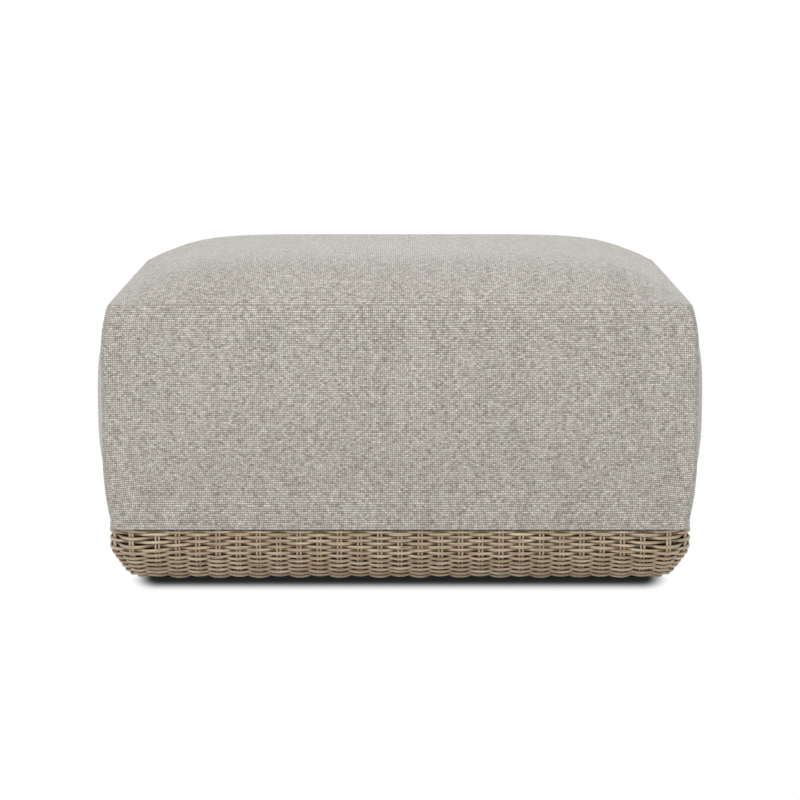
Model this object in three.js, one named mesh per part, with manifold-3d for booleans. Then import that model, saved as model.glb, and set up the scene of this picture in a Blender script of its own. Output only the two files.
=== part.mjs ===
// Outdoor ottoman footstool: a tall box cushion that lies loose on a low plinth of woven wicker.
// Lengths are in millimetres, +Z is up, the front faces -Y and the floor is at z = 0.
// The origin is on the floor, under the middle of the ottoman.
import * as THREE from 'three';
import { mergeVertices } from 'three/addons/utils/BufferGeometryUtils.js';
import Module from 'manifold-3d';

const wasm = await Module();
wasm.setup();

// Cushion: sewn cover over a foam core
const seamWidth = 824; // between the side seams of the top panel, left to right
const seamDepth = 646; // the same, front to back
const boxingHeight = 322; // the upright band between the top and bottom seams
const crownHeight = 55.7; // the middle of the top panel over its seam
const cornerBow = 8; // how far the upright corners bow outwards at mid height
const panelBulge = 12; // how far the side panels swell beyond those corners
const cushionCornerRadius = 18;
const coverThickness = 3; // fabric with its bonded fibre wrap
const seamGap = 0.3; // between panels that are sewn edge to edge
const seatGap = 0.3; // between pieces that rest on each other
const foamInset = 10; // from the outside of the cover to the foam core

// Plinth: outside of the weave at the rim, and its walls
const plinthWidth = 840;
const plinthDepth = 662;
const plinthCornerRadius = 60;
const deckHeight = 82; // top of the frame, where the cushion lies
const groundClearance = 7; // floor to the underside of the bottom bars

// Wicker
const strandRadius = 2.1;
const rowPitch = 4.45; // along the wall, from one woven row to the next
const rowCount = 18;
const stakeThickness = 3.2; // a pair of rods side by side, as one flat stake
const stakeWidth = 7;
const frontStakeCount = 25; // on the front and on the back
const sideStakeCount = 18; // on each side
const stakesPerCorner = 2;
const weaveClearance = 0.4; // between a strand and the stake that it passes
const uprightLength = 26; // the wall runs straight down, slopes in, then tucks under
const slopeLength = 40;
const slopeAngle = THREE.MathUtils.degToRad(36);
const tuckAngle = THREE.MathUtils.degToRad(60);
const hookSink = 0.2; // top of the stakes' hooked ends under the deck
const weldDepth = 1; // how far a stake's ends enter the metal that it is welded to

// Frame: welded aluminium
const railWidth = 20;
const railHeight = 20;
const railWall = 2;
const railClearance = 0.5; // between the inside of the weave and the top rails
const barHeight = 15; // of the bottom bars
const footInset = 41.5; // from the stakes' upright part to the outside of the bottom bars
const castingOverlap = 6; // how far a corner casting runs on past its round
const slatWidth = 40;
const slatHeight = 16;
const slatWall = 1.5;
const slatCount = 6;
const slatEndGap = 65; // from the side rails to the first and the last slat

// Levelling feet
const padRadius = 17;
const padRimHeight = 3;
const padTopRadius = 13;
const padHeight = 6;
const padLip = 1.2; // thickness of the lip over the stud's foot
const padFloor = 2.2; // thickness under the stud's foot
const studRadius = 4;
const studFootRadius = 7;
const studLength = 31.5;
const collarRadius = 6.5; // the collar that a spanner turns
const collarHeight = 3;
const runningGap = 0.3; // round pieces that turn or slide in others
const footPlateSize = 49;
const footPlateThickness = 4;
const footBossRadius = 8;
const footBossHeight = 8;

// Zip in the back of the boxing
const zipLow = 36; // lower edge of the flat zip band over the bottom seam
const zipBandHeight = 24;
const zipProud = 9; // flat zip band beyond the back seam line
const zipLength = 536;
const zipSlotHeight = 6;
const zipTapeHeight = 22;
const zipTapeThickness = 1;
const zipCoilHeight = 5;
const sliderLength = 16;
const sliderHeight = 10;
const sliderThickness = 2.2;
const sliderStart = 240; // slider to the middle of the zip when the zip is closed
const earThickness = 1.2;
const earSpan = 7; // outside to outside of the slider's two ears
const earReach = 3.4; // ears beyond the slider's plate
const earLength = 3.2;
const pinRadius = 0.7;
const pinOutset = 2; // pin beyond the slider's plate
const knuckleRadius = 1.7;
const pullLength = 27;
const pullHeight = 6;
const pullThickness = 1.2;

const overrun = 5; // how far a cutting shape passes the faces that it cuts
const roundSides = 10; // facets round a stud, bore or pad
const castingSides = 16; // facets of a corner casting, if it went all the way round
const smallSides = 8; // facets round the zip's pin and knuckle

// Derived sizes shared by the sections below
const weaveOffset =
  (stakeThickness / 2 + strandRadius + weaveClearance) /
  (1 - (stakeWidth * frontStakeCount) / (plinthWidth - 2 * plinthCornerRadius));
const stakeInset = weaveOffset + strandRadius; // outside of the weave to the middle of the stakes
const cornerX = plinthWidth / 2 - plinthCornerRadius; // centre of each rounded corner
const cornerY = plinthDepth / 2 - plinthCornerRadius;
const stakeRadius = plinthCornerRadius - stakeInset; // stakes' upright part, round that centre
const railRadius = stakeRadius - stakeInset - railClearance; // outside of the top rails
const barRadius = stakeRadius - footInset; // outside of the bottom bars
const barWidth = barRadius; // the bars' inner faces then meet at the corner's centre
const railBottom = deckHeight - railHeight;
const barTop = groundClearance + barHeight;
const hookTop = deckHeight - hookSink;
const weaveTop = hookTop - stakeThickness;
const cushionBottom = deckHeight + seatGap;
const topSeam = cushionBottom + boxingHeight;

// Colours
const finishes = {
  fabric: { color: 0xaca89e, roughness: 0.95, metalness: 0 },
  foam: { color: 0xe6e2d6, roughness: 0.9, metalness: 0 },
  strand: { color: 0x9a866e, roughness: 0.6, metalness: 0 },
  frame: { color: 0x6f6356, roughness: 0.5, metalness: 0.2 },
  nylon: { color: 0x2b2a28, roughness: 0.6, metalness: 0 },
  zinc: { color: 0xb4b7b9, roughness: 0.35, metalness: 1 },
  zipTape: { color: 0x8f8a80, roughness: 0.9, metalness: 0 },
  zipMetal: { color: 0x77736c, roughness: 0.4, metalness: 0.9 },
};

const ottoman = new THREE.Group();

function place(name, geometry, finish, parent = ottoman) {
  const mesh = new THREE.Mesh(geometry, new THREE.MeshStandardMaterial(finishes[finish]));
  mesh.name = name;
  parent.add(mesh);
  return mesh;
}

// Solids and booleans

function toSolid(geometry) {
  const bare = geometry.clone();
  bare.deleteAttribute('normal');
  bare.deleteAttribute('uv');
  const merged = mergeVertices(bare);
  const vertProperties = new Float32Array(merged.attributes.position.array);
  const triVerts = new Uint32Array(merged.index.array);
  return new wasm.Manifold(new wasm.Mesh({ numProp: 3, vertProperties, triVerts }));
}

function toGeometry(solid) {
  const mesh = solid.getMesh();
  const geometry = new THREE.BufferGeometry();
  geometry.setAttribute('position', new THREE.BufferAttribute(mesh.vertProperties, 3));
  geometry.setIndex(new THREE.BufferAttribute(mesh.triVerts, 1));
  geometry.computeVertexNormals();
  return geometry;
}

function box(lowX, highX, lowY, highY, lowZ, highZ) {
  const geometry = new THREE.BoxGeometry(highX - lowX, highY - lowY, highZ - lowZ);
  return geometry.translate((lowX + highX) / 2, (lowY + highY) / 2, (lowZ + highZ) / 2);
}

// A body turned round the Z axis from an outline of [radius, height] points
function turned(outline, sides) {
  const points = outline.map(([radius, height]) => new THREE.Vector2(radius, height));
  return new THREE.LatheGeometry(points, sides).rotateX(Math.PI / 2);
}

// A closed surface through rows of points; a row of one point is a pole. With closed set, the last
// row joins the first, as round a ring.
function loft(rows, closed = false) {
  const starts = [];
  const points = [];
  for (const row of rows) {
    starts.push(points.length);
    points.push(...row);
  }
  const corners = [];
  const spans = closed ? rows.length : rows.length - 1;
  for (let i = 0; i < spans; i += 1) {
    const next = (i + 1) % rows.length;
    const count = Math.max(rows[i].length, rows[next].length);
    for (let j = 0; j < count; j += 1) {
      const k = (j + 1) % count;
      const here = starts[i];
      const there = starts[next];
      if (rows[i].length === 1) {
        corners.push(here, there + j, there + k);
      } else if (rows[next].length === 1) {
        corners.push(here + j, there, here + k);
      } else {
        corners.push(here + j, there + j, there + k);
        corners.push(here + j, there + k, here + k);
      }
    }
  }
  let volume = 0;
  for (let i = 0; i < corners.length; i += 3) {
    const [a, b, c] = corners.slice(i, i + 3).map((index) => points[index]);
    volume += a.dot(b.clone().cross(c));
  }
  if (volume < 0) {
    corners.reverse();
  }
  const geometry = new THREE.BufferGeometry();
  const flat = points.flatMap((point) => point.toArray());
  geometry.setAttribute('position', new THREE.Float32BufferAttribute(flat, 3));
  geometry.setIndex(corners);
  geometry.computeVertexNormals();
  return geometry;
}

// Cushion outline at one height. The middle of each side runs straight and its ends turn in to the
// corners; the side shares are places along a side, from corner to corner.
const straightShare = 2 / 3;
const bulgePower = 6;
const coverSideShares = [
  [-0.9, -straightShare, -0.33, 0, 0.33, straightShare, 0.9],
  [-0.88, -0.6, 0, 0.6, 0.88],
];
const foamSideShares = [
  [-straightShare, straightShare],
  [0],
];

function swellAlong(share) {
  const swell = (1 - Math.abs(share) ** bulgePower) / (1 - straightShare ** bulgePower);
  return Math.min(1, swell);
}

// Swell of the sides over the height of the boxing: none at the seams, most at mid height
const swellPower = 2.5;
function swellUp(share) {
  return 1 - Math.abs(2 * share - 1) ** swellPower;
}

// One level ring of the cushion's side. Inset shrinks it towards the middle, and backPull brings the
// middle of its back side inwards.
function cushionRing(heightShare, z, inset, sideShares, cornerSteps, backPull = 0) {
  const bow = cornerBow * swellUp(heightShare);
  const bulge = panelBulge * swellUp(heightShare);
  const halfX = seamWidth / 2 + bow - inset;
  const halfY = seamDepth / 2 + bow - inset;
  const radius = cushionCornerRadius;
  const ring = [];
  for (let side = 0; side < 4; side += 1) {
    const wide = side % 2 === 0;
    const along = (wide ? halfX : halfY) - radius;
    const out = wide ? halfY : halfX;
    const facing = (side - 1) * (Math.PI / 2);
    const outward = new THREE.Vector3(Math.cos(facing), Math.sin(facing), 0);
    const onward = new THREE.Vector3(-Math.sin(facing), Math.cos(facing), 0);
    const pull = side === 2 ? backPull : 0;
    for (const share of sideShares[side % 2]) {
      const reach = out + (bulge - pull) * swellAlong(share);
      const point = new THREE.Vector3(0, 0, z);
      point.addScaledVector(outward, reach).addScaledVector(onward, along * share);
      ring.push(point);
    }
    for (let step = 0; step <= cornerSteps; step += 1) {
      const turn = (step / cornerSteps) * (Math.PI / 2);
      const point = new THREE.Vector3(0, 0, z);
      point.addScaledVector(outward, out - radius + radius * Math.cos(turn));
      point.addScaledVector(onward, along + radius * Math.sin(turn));
      ring.push(point);
    }
  }
  return ring;
}

// Crown: a dome that is steep at the seams and flat in the middle
const crownPowerX = 5;
const crownPowerY = 4;
function crownAt(x, y) {
  const acrossX = 1 - Math.min(1, Math.abs((2 * x) / seamWidth)) ** crownPowerX;
  const acrossY = 1 - Math.min(1, Math.abs((2 * y) / seamDepth)) ** crownPowerY;
  return crownHeight * acrossX * acrossY;
}

// Rings of the dome from the seam inwards, at shares of the way to the middle
function crownRings(seamRing, inwardShares, seamZ, drop) {
  return inwardShares.map((share) =>
    seamRing.map((point) => {
      const x = point.x * (1 - share);
      const y = point.y * (1 - share);
      return new THREE.Vector3(x, y, seamZ + crownAt(x, y) - drop);
    }),
  );
}

// Cover: top panel, boxing and bottom panel, each a shell of the cover's thickness
const coverCornerSteps = 2;
const crownShares = [0.04, 0.12, 0.26, 0.48, 0.76];

function coverRing(heightShare, z, inset, backPull = 0) {
  return cushionRing(heightShare, z, inset, coverSideShares, coverCornerSteps, backPull);
}

function topPanel() {
  const outerSeam = coverRing(1, topSeam, 0);
  const innerSeam = coverRing(1, topSeam, coverThickness);
  const outer = crownRings(outerSeam, crownShares, topSeam, 0);
  const inner = crownRings(innerSeam, crownShares, topSeam, coverThickness);
  const summit = new THREE.Vector3(0, 0, topSeam + crownHeight);
  const ceiling = new THREE.Vector3(0, 0, topSeam + crownHeight - coverThickness);
  return loft([[summit], ...outer.reverse(), outerSeam, innerSeam, ...inner, [ceiling]]);
}

function bottomPanel() {
  const low = coverRing(0, cushionBottom, 0);
  const high = coverRing(0, cushionBottom + coverThickness, 0);
  const under = new THREE.Vector3(0, 0, cushionBottom);
  const over = new THREE.Vector3(0, 0, cushionBottom + coverThickness);
  return loft([[under], low, high, [over]]);
}

const zipBack = seamDepth / 2 + zipProud; // outer face of the flat zip band
const zipMiddle = cushionBottom + zipLow + zipBandHeight / 2;

// Heights of the boxing's rings; the second and third bound the flat zip band
function boxingHeights() {
  const start = coverThickness + seamGap;
  const zipHigh = zipLow + zipBandHeight;
  const upperShares = [0.25, 0.55, 0.8, 0.94, 1];
  const upper = upperShares.map((share) => zipHigh + (boxingHeight - seamGap - zipHigh) * share);
  return [start, zipLow, zipHigh, ...upper];
}

function boxing() {
  const rings = (inset) =>
    boxingHeights().map((height, index) => {
      const share = height / boxingHeight;
      const natural = (cornerBow + panelBulge) * swellUp(share);
      const inBand = index === 1 || index === 2;
      const pull = inBand ? natural - zipProud : 0;
      return coverRing(share, cushionBottom + height, inset, pull);
    });
  const shell = loft([...rings(0), ...rings(coverThickness).reverse()], true);
  const slot = box(
    -zipLength / 2,
    zipLength / 2,
    zipBack - coverThickness - overrun,
    zipBack + overrun,
    zipMiddle - zipSlotHeight / 2,
    zipMiddle + zipSlotHeight / 2,
  );
  return toGeometry(toSolid(shell).subtract(toSolid(slot)));
}

// Foam core: a crowned block that lies on the bottom panel
function foamCore() {
  const low = cushionBottom + coverThickness + seatGap;
  const high = topSeam - foamInset / 2;
  const heightShares = [0, 0.3, 0.7, 1];
  const foamCrownShares = [0.15, 0.5];
  const foamCornerSteps = 1;
  const ring = (share) =>
    cushionRing(share, low + (high - low) * share, foamInset, foamSideShares, foamCornerSteps);
  const sides = heightShares.map(ring);
  const rim = sides[sides.length - 1];
  const crown = crownRings(rim, foamCrownShares, high, foamInset);
  const under = new THREE.Vector3(0, 0, low);
  const summit = new THREE.Vector3(0, 0, high + crownHeight - foamInset);
  return loft([[under], ...sides, ...crown, [summit]]);
}

place('cover_top_panel', topPanel(), 'fabric');
place('cover_boxing', boxing(), 'fabric');
place('cover_bottom_panel', bottomPanel(), 'fabric');
place('foam_core', foamCore(), 'foam');

// Zip: tape behind the slot with its coil standing in it, a slider and its pull
const tapeFace = zipBack - coverThickness - seatGap; // outer face of the tape
const coilFace = zipBack; // the coil stands flush in the slot
const sliderBack = coilFace + runningGap;
const sliderFront = sliderBack + sliderThickness;
const pinY = sliderFront + pinOutset;

function zipChain() {
  const tape = box(
    -zipLength / 2,
    zipLength / 2,
    tapeFace - zipTapeThickness,
    tapeFace,
    zipMiddle - zipTapeHeight / 2,
    zipMiddle + zipTapeHeight / 2,
  );
  const coil = box(
    -zipLength / 2 + runningGap,
    zipLength / 2 - runningGap,
    tapeFace - zipTapeThickness / 2,
    coilFace,
    zipMiddle - zipCoilHeight / 2,
    zipMiddle + zipCoilHeight / 2,
  );
  return toGeometry(toSolid(tape).add(toSolid(coil)));
}

// Slider: a plate with two ears and the pin between them, round its own origin on the zip's middle
function zipSlider() {
  const plate = box(
    -sliderLength / 2,
    sliderLength / 2,
    sliderBack,
    sliderFront,
    -sliderHeight / 2,
    sliderHeight / 2,
  );
  const ear = (lowZ) =>
    box(
      -earLength / 2,
      earLength / 2,
      sliderFront - sliderThickness / 2,
      sliderFront + earReach,
      lowZ,
      lowZ + earThickness,
    );
  const pinLength = earSpan - earThickness;
  const pin = new THREE.CylinderGeometry(pinRadius, pinRadius, pinLength, smallSides);
  pin.rotateX(Math.PI / 2).translate(0, pinY, 0);
  const solid = toSolid(plate)
    .add(toSolid(ear(-earSpan / 2)))
    .add(toSolid(ear(earSpan / 2 - earThickness)))
    .add(toSolid(pin));
  return toGeometry(solid);
}

// Pull: a knuckle round the pin and a flat tab that lies along the zip
function zipPull() {
  const knuckleHeight = earSpan - 2 * earThickness - 2 * runningGap;
  const knuckle = new THREE.CylinderGeometry(knuckleRadius, knuckleRadius, knuckleHeight, smallSides);
  const boreRadius = pinRadius + runningGap;
  const bore = new THREE.CylinderGeometry(boreRadius, boreRadius, knuckleHeight + overrun, smallSides);
  const neck = box(
    -earLength,
    -boreRadius - runningGap,
    -pullThickness / 2,
    pullThickness / 2,
    -knuckleHeight / 2,
    knuckleHeight / 2,
  );
  const tab = box(
    -pullLength,
    -earLength + runningGap,
    -pullThickness / 2,
    pullThickness / 2,
    -pullHeight / 2,
    pullHeight / 2,
  );
  const solid = toSolid(knuckle.rotateX(Math.PI / 2))
    .add(toSolid(neck))
    .add(toSolid(tab))
    .subtract(toSolid(bore.rotateX(Math.PI / 2)));
  return toGeometry(solid);
}

place('zip_chain', zipChain(), 'zipTape');
const zipCarriage = new THREE.Group();
zipCarriage.position.set(-sliderStart, 0, zipMiddle);
place('zip_slider', zipSlider(), 'zipMetal', zipCarriage);
place('zip_pull', zipPull(), 'zipMetal', zipCarriage).position.y = pinY;
ottoman.add(zipCarriage);

// Wall of the plinth, from the rim down: how far it has come in and down after a length along it
const uprightEnd = { inset: 0, z: weaveTop - uprightLength };
const slopeEnd = {
  inset: slopeLength * Math.sin(slopeAngle),
  z: uprightEnd.z - slopeLength * Math.cos(slopeAngle),
};

function wallAt(length) {
  if (length <= uprightLength) {
    return { inset: 0, z: weaveTop - length };
  }
  const down = length - uprightLength;
  if (down <= slopeLength) {
    return { inset: down * Math.sin(slopeAngle), z: uprightEnd.z - down * Math.cos(slopeAngle) };
  }
  const under = down - slopeLength;
  return {
    inset: slopeEnd.inset + under * Math.sin(tuckAngle),
    z: slopeEnd.z - under * Math.cos(tuckAngle),
  };
}

// The wall's tilt at a row, eased over the bends from the rows on both sides of it
function tiltAt(length) {
  const above = wallAt(length - rowPitch / 2);
  const below = wallAt(length + rowPitch / 2);
  return Math.atan2(below.inset - above.inset, above.z - below.z);
}

// Plan of the stakes, in order round the plinth from the front left. Each stands in the upright
// plane through its anchor that faces its outward angle.
const sideNames = ['front', 'right', 'back', 'left'];
const cornerNames = ['front_right', 'back_right', 'back_left', 'front_left'];

function sidePlan(index) {
  const wide = index % 2 === 0;
  const half = wide ? cornerX : cornerY;
  const count = wide ? frontStakeCount : sideStakeCount;
  return {
    facing: (index - 1) * (Math.PI / 2),
    half,
    reach: wide ? cornerY : cornerX,
    count,
    pitch: (2 * half) / count,
  };
}

function onSide(plan, along) {
  const x = plan.reach * Math.cos(plan.facing) - along * Math.sin(plan.facing);
  const y = plan.reach * Math.sin(plan.facing) + along * Math.cos(plan.facing);
  return new THREE.Vector3(x, y, 0);
}

function stakePlan() {
  const stakes = [];
  for (let index = 0; index < 4; index += 1) {
    const plan = sidePlan(index);
    for (let number = 0; number < plan.count; number += 1) {
      const anchor = onSide(plan, (number + 0.5) * plan.pitch - plan.half);
      stakes.push({ holder: sideNames[index], anchor, facing: plan.facing });
    }
    const nextPitch = sidePlan((index + 1) % 4).pitch;
    const arc = stakeRadius * (Math.PI / 2);
    const spacing = (plan.pitch / 2 + arc + nextPitch / 2) / (stakesPerCorner + 1);
    for (let number = 1; number <= stakesPerCorner; number += 1) {
      const turn = (number * spacing - plan.pitch / 2) / stakeRadius;
      const anchor = onSide(plan, plan.half);
      stakes.push({ holder: cornerNames[index], anchor, facing: plan.facing + turn });
    }
  }
  return stakes;
}

const stakes = stakePlan();

// Stake: a bent flat rod, hooked in over the top row and tucked in under the last one. Its outline
// lies in its own upright plane, as distance out from the anchor and height.
function stakeOutline() {
  const hookEnd = railRadius - weldDepth;
  const half = stakeThickness / 2;
  const kneeShift = half * Math.tan(slopeAngle / 2);
  const bendShift = half * Math.tan((tuckAngle - slopeAngle) / 2);
  const tailLength = (footInset + weldDepth - slopeEnd.inset) / Math.sin(tuckAngle);
  const tail = {
    inset: slopeEnd.inset + tailLength * Math.sin(tuckAngle),
    z: slopeEnd.z - tailLength * Math.cos(tuckAngle),
  };
  const outer = [
    [stakeRadius + half, uprightEnd.z - kneeShift],
    [
      stakeRadius - slopeEnd.inset + half * Math.cos(slopeAngle) - bendShift * Math.sin(slopeAngle),
      slopeEnd.z - half * Math.sin(slopeAngle) - bendShift * Math.cos(slopeAngle),
    ],
    [
      stakeRadius - tail.inset + half * Math.cos(tuckAngle),
      tail.z - half * Math.sin(tuckAngle),
    ],
  ];
  const inner = [
    [
      stakeRadius - tail.inset - half * Math.cos(tuckAngle),
      tail.z + half * Math.sin(tuckAngle),
    ],
    [
      stakeRadius - slopeEnd.inset - half * Math.cos(slopeAngle) + bendShift * Math.sin(slopeAngle),
      slopeEnd.z + half * Math.sin(slopeAngle) + bendShift * Math.cos(slopeAngle),
    ],
    [stakeRadius - half, uprightEnd.z + kneeShift],
    [stakeRadius - half, weaveTop],
    [hookEnd, weaveTop],
  ];
  return [[hookEnd, hookTop], [stakeRadius + half, hookTop], ...outer, ...inner];
}

const stakeShape = new THREE.Shape(stakeOutline().map(([out, z]) => new THREE.Vector2(out, z)));
const stakeBlank = new THREE.ExtrudeGeometry(stakeShape, { depth: stakeWidth, bevelEnabled: false });
stakeBlank.translate(0, 0, -stakeWidth / 2);

// Round the corners the stakes close up towards the foot, as the wall does
const cornerBlank = stakeBlank.clone();
const cornerPoints = cornerBlank.attributes.position;
for (let i = 0; i < cornerPoints.count; i += 1) {
  cornerPoints.setZ(i, (cornerPoints.getZ(i) * cornerPoints.getX(i)) / stakeRadius);
}

function weldStakes(solid, holder, blank) {
  let welded = solid;
  for (const stake of stakes.filter((each) => each.holder === holder)) {
    const outward = new THREE.Vector3(Math.cos(stake.facing), Math.sin(stake.facing), 0);
    const up = new THREE.Vector3(0, 0, 1);
    const frame = new THREE.Matrix4().makeBasis(outward, up, outward.clone().cross(up));
    frame.setPosition(stake.anchor);
    welded = welded.add(toSolid(blank.clone().applyMatrix4(frame)));
  }
  return welded;
}

// Side frame: a top rail of square tube and a bottom bar, with the side's stakes welded between
function sideFrame(index) {
  const plan = sidePlan(index);
  const end = plan.half - castingOverlap - seatGap;
  const railOut = plan.reach + railRadius;
  const railIn = railOut - railWidth;
  const rail = box(railIn, railOut, -end, end, railBottom, deckHeight);
  const hollow = box(
    railIn + railWall,
    railOut - railWall,
    -end - overrun,
    end + overrun,
    railBottom + railWall,
    deckHeight - railWall,
  );
  const barOut = plan.reach + barRadius;
  const bar = box(barOut - barWidth, barOut, -end, end, groundClearance, barTop);
  const facing = new THREE.Matrix4().makeRotationZ(plan.facing);
  const tube = toSolid(rail.applyMatrix4(facing)).subtract(toSolid(hollow.applyMatrix4(facing)));
  const solid = tube.add(toSolid(bar.applyMatrix4(facing)));
  return toGeometry(weldStakes(solid, sideNames[index], stakeBlank));
}

// Corner casting: a quarter turn of one profile, wide at the deck and drawn in to the foot
function cornerCasting(index) {
  const plan = sidePlan(index);
  const profile = [
    [0, groundClearance],
    [barRadius, groundClearance],
    [barRadius, barTop],
    [railRadius, railBottom],
    [railRadius, deckHeight],
    [railRadius - railWidth, deckHeight],
    [railRadius - railWidth, railBottom - railWall],
    [0, barTop + railWall],
  ];
  const ring = turned(profile, castingSides);
  const reach = plinthCornerRadius + overrun;
  const low = groundClearance - overrun;
  const high = deckHeight + overrun;
  const quarter = toSolid(box(-castingOverlap, reach, 0, reach, low, high)).add(
    toSolid(box(0, reach, -castingOverlap, reach, low, high)),
  );
  const centre = onSide(plan, plan.half);
  const facing = new THREE.Matrix4().makeRotationZ(plan.facing).setPosition(centre);
  const solid = toSolid(ring).intersect(quarter);
  const standing = toSolid(toGeometry(solid).applyMatrix4(facing));
  return toGeometry(weldStakes(standing, cornerNames[index], cornerBlank));
}

sideNames.forEach((name, index) => place(`side_frame_${name}`, sideFrame(index), 'frame'));
cornerNames.forEach((name, index) => place(`corner_casting_${name}`, cornerCasting(index), 'frame'));

// Woven rows: each strand passes outside one stake and inside the next, and the rows alternate
const strandSides = 3;
function wovenRow(row) {
  const length = (row + 0.5) * rowPitch;
  const wall = wallAt(length);
  const tilt = tiltAt(length);
  const sections = stakes.map((stake, index) => {
    const side = (index + row) % 2 === 0 ? 1 : -1;
    const outward = new THREE.Vector3(Math.cos(stake.facing), Math.sin(stake.facing), 0);
    const up = new THREE.Vector3(0, 0, 1);
    const normal = outward.clone().multiplyScalar(Math.cos(tilt)).addScaledVector(up, -Math.sin(tilt));
    const rise = up.clone().multiplyScalar(Math.cos(tilt)).addScaledVector(outward, Math.sin(tilt));
    const middle = stake.anchor.clone().addScaledVector(outward, stakeRadius - wall.inset);
    middle.addScaledVector(up, wall.z).addScaledVector(normal, side * weaveOffset);
    const section = [];
    for (let corner = 0; corner < strandSides; corner += 1) {
      const turn = (corner / strandSides) * 2 * Math.PI;
      const point = middle.clone().addScaledVector(normal, strandRadius * Math.cos(turn));
      section.push(point.addScaledVector(rise, strandRadius * Math.sin(turn)));
    }
    return section;
  });
  return loft(sections, true);
}

for (let row = 0; row < rowCount; row += 1) {
  const number = String(row + 1).padStart(2, '0');
  place(`woven_row_${number}`, wovenRow(row), 'strand');
}

// Deck slats: flat tubes from the front rail to the back rail, level with their tops
function deckSlat() {
  const end = cornerY + railRadius - railWidth - seatGap;
  const low = deckHeight - slatHeight;
  const slat = box(-slatWidth / 2, slatWidth / 2, -end, end, low, deckHeight);
  const hollow = box(
    -slatWidth / 2 + slatWall,
    slatWidth / 2 - slatWall,
    -end - overrun,
    end + overrun,
    low + slatWall,
    deckHeight - slatWall,
  );
  return toGeometry(toSolid(slat).subtract(toSolid(hollow)));
}

const deckHalf = cornerX + railRadius - railWidth; // middle of the deck to the inside of a side rail
const slatReach = deckHalf - slatEndGap - slatWidth / 2; // to the middle of the last slat
for (let slat = 0; slat < slatCount; slat += 1) {
  const mesh = place(`deck_slat_${slat + 1}`, deckSlat(), 'frame');
  mesh.position.x = ((2 * slat) / (slatCount - 1) - 1) * slatReach;
}

// Levelling feet: a threaded plate in each inner corner of the bottom bars, a stud and a pad
const collarBottom = padHeight + runningGap;
const collarTop = collarBottom + collarHeight;
const plateBottom = collarTop + runningGap;
const studBottom = padFloor + runningGap;

// Corner radius of a faceted bore whose flats keep the running gap to a round piece at every turn
function boreAround(radius) {
  return (radius + runningGap) / Math.cos(Math.PI / roundSides);
}

function footPlate() {
  const half = footPlateSize / 2;
  const plateTop = plateBottom + footPlateThickness;
  const bossTop = plateTop + footBossHeight;
  const boreRadius = boreAround(studRadius);
  const plate = box(-half, half, -half, half, plateBottom, plateTop);
  const bossOutline = [
    [0, plateTop - footPlateThickness / 2],
    [footBossRadius, plateTop - footPlateThickness / 2],
    [footBossRadius, bossTop],
    [0, bossTop],
  ];
  const boreOutline = [
    [0, plateBottom - overrun],
    [boreRadius, plateBottom - overrun],
    [boreRadius, bossTop + overrun],
    [0, bossTop + overrun],
  ];
  const body = toSolid(plate).add(toSolid(turned(bossOutline, roundSides)));
  return toGeometry(body.subtract(toSolid(turned(boreOutline, roundSides))));
}

function glideStud() {
  const footTop = padHeight - padLip - runningGap;
  const outline = [
    [0, studBottom],
    [studFootRadius, studBottom],
    [studFootRadius, footTop],
    [studRadius, footTop],
    [studRadius, collarBottom],
    [collarRadius, collarBottom],
    [collarRadius, collarTop],
    [studRadius, collarTop],
    [studRadius, studBottom + studLength],
    [0, studBottom + studLength],
  ];
  return turned(outline, roundSides);
}

function glidePad() {
  const mouth = boreAround(studRadius);
  const socket = boreAround(studFootRadius);
  const outline = [
    [0, 0],
    [padRadius, 0],
    [padRadius, padRimHeight],
    [padTopRadius, padHeight],
    [mouth, padHeight],
    [mouth, padHeight - padLip],
    [socket, padHeight - padLip],
    [socket, padFloor],
    [0, padFloor],
  ];
  return turned(outline, roundSides);
}

cornerNames.forEach((name) => {
  const group = new THREE.Group();
  const sideX = name.endsWith('right') ? 1 : -1;
  const sideY = name.startsWith('back') ? 1 : -1;
  const inX = cornerX + barRadius - barWidth - seatGap - footPlateSize / 2;
  const inY = cornerY + barRadius - barWidth - seatGap - footPlateSize / 2;
  group.position.set(sideX * inX, sideY * inY, 0);
  place(`foot_plate_${name}`, footPlate(), 'frame', group);
  place(`glide_stud_${name}`, glideStud(), 'zinc', group);
  place(`glide_pad_${name}`, glidePad(), 'nylon', group);
  ottoman.add(group);
});

export default ottoman;
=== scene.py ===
"""Outdoor ottoman footstool: a box cushion lying loose on a plinth of woven resin wicker.

Lengths are in metres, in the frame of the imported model: +Z up, the front faces -Y, floor at z = 0.
"""

import math

import bmesh
import bpy
import numpy as np
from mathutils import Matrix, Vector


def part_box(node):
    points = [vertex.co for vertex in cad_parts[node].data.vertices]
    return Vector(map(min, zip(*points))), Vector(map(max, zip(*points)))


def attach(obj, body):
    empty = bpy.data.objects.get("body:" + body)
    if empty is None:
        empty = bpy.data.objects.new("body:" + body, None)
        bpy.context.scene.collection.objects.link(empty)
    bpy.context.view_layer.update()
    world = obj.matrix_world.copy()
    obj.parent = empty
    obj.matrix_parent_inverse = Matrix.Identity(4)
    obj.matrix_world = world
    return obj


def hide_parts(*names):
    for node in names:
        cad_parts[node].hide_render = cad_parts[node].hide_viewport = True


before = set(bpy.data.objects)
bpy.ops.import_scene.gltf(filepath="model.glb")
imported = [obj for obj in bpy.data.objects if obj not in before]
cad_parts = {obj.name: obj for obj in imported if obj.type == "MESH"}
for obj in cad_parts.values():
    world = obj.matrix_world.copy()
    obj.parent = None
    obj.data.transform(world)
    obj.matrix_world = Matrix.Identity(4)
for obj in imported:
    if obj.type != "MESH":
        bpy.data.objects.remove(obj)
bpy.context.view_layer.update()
mm = 0.001

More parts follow.
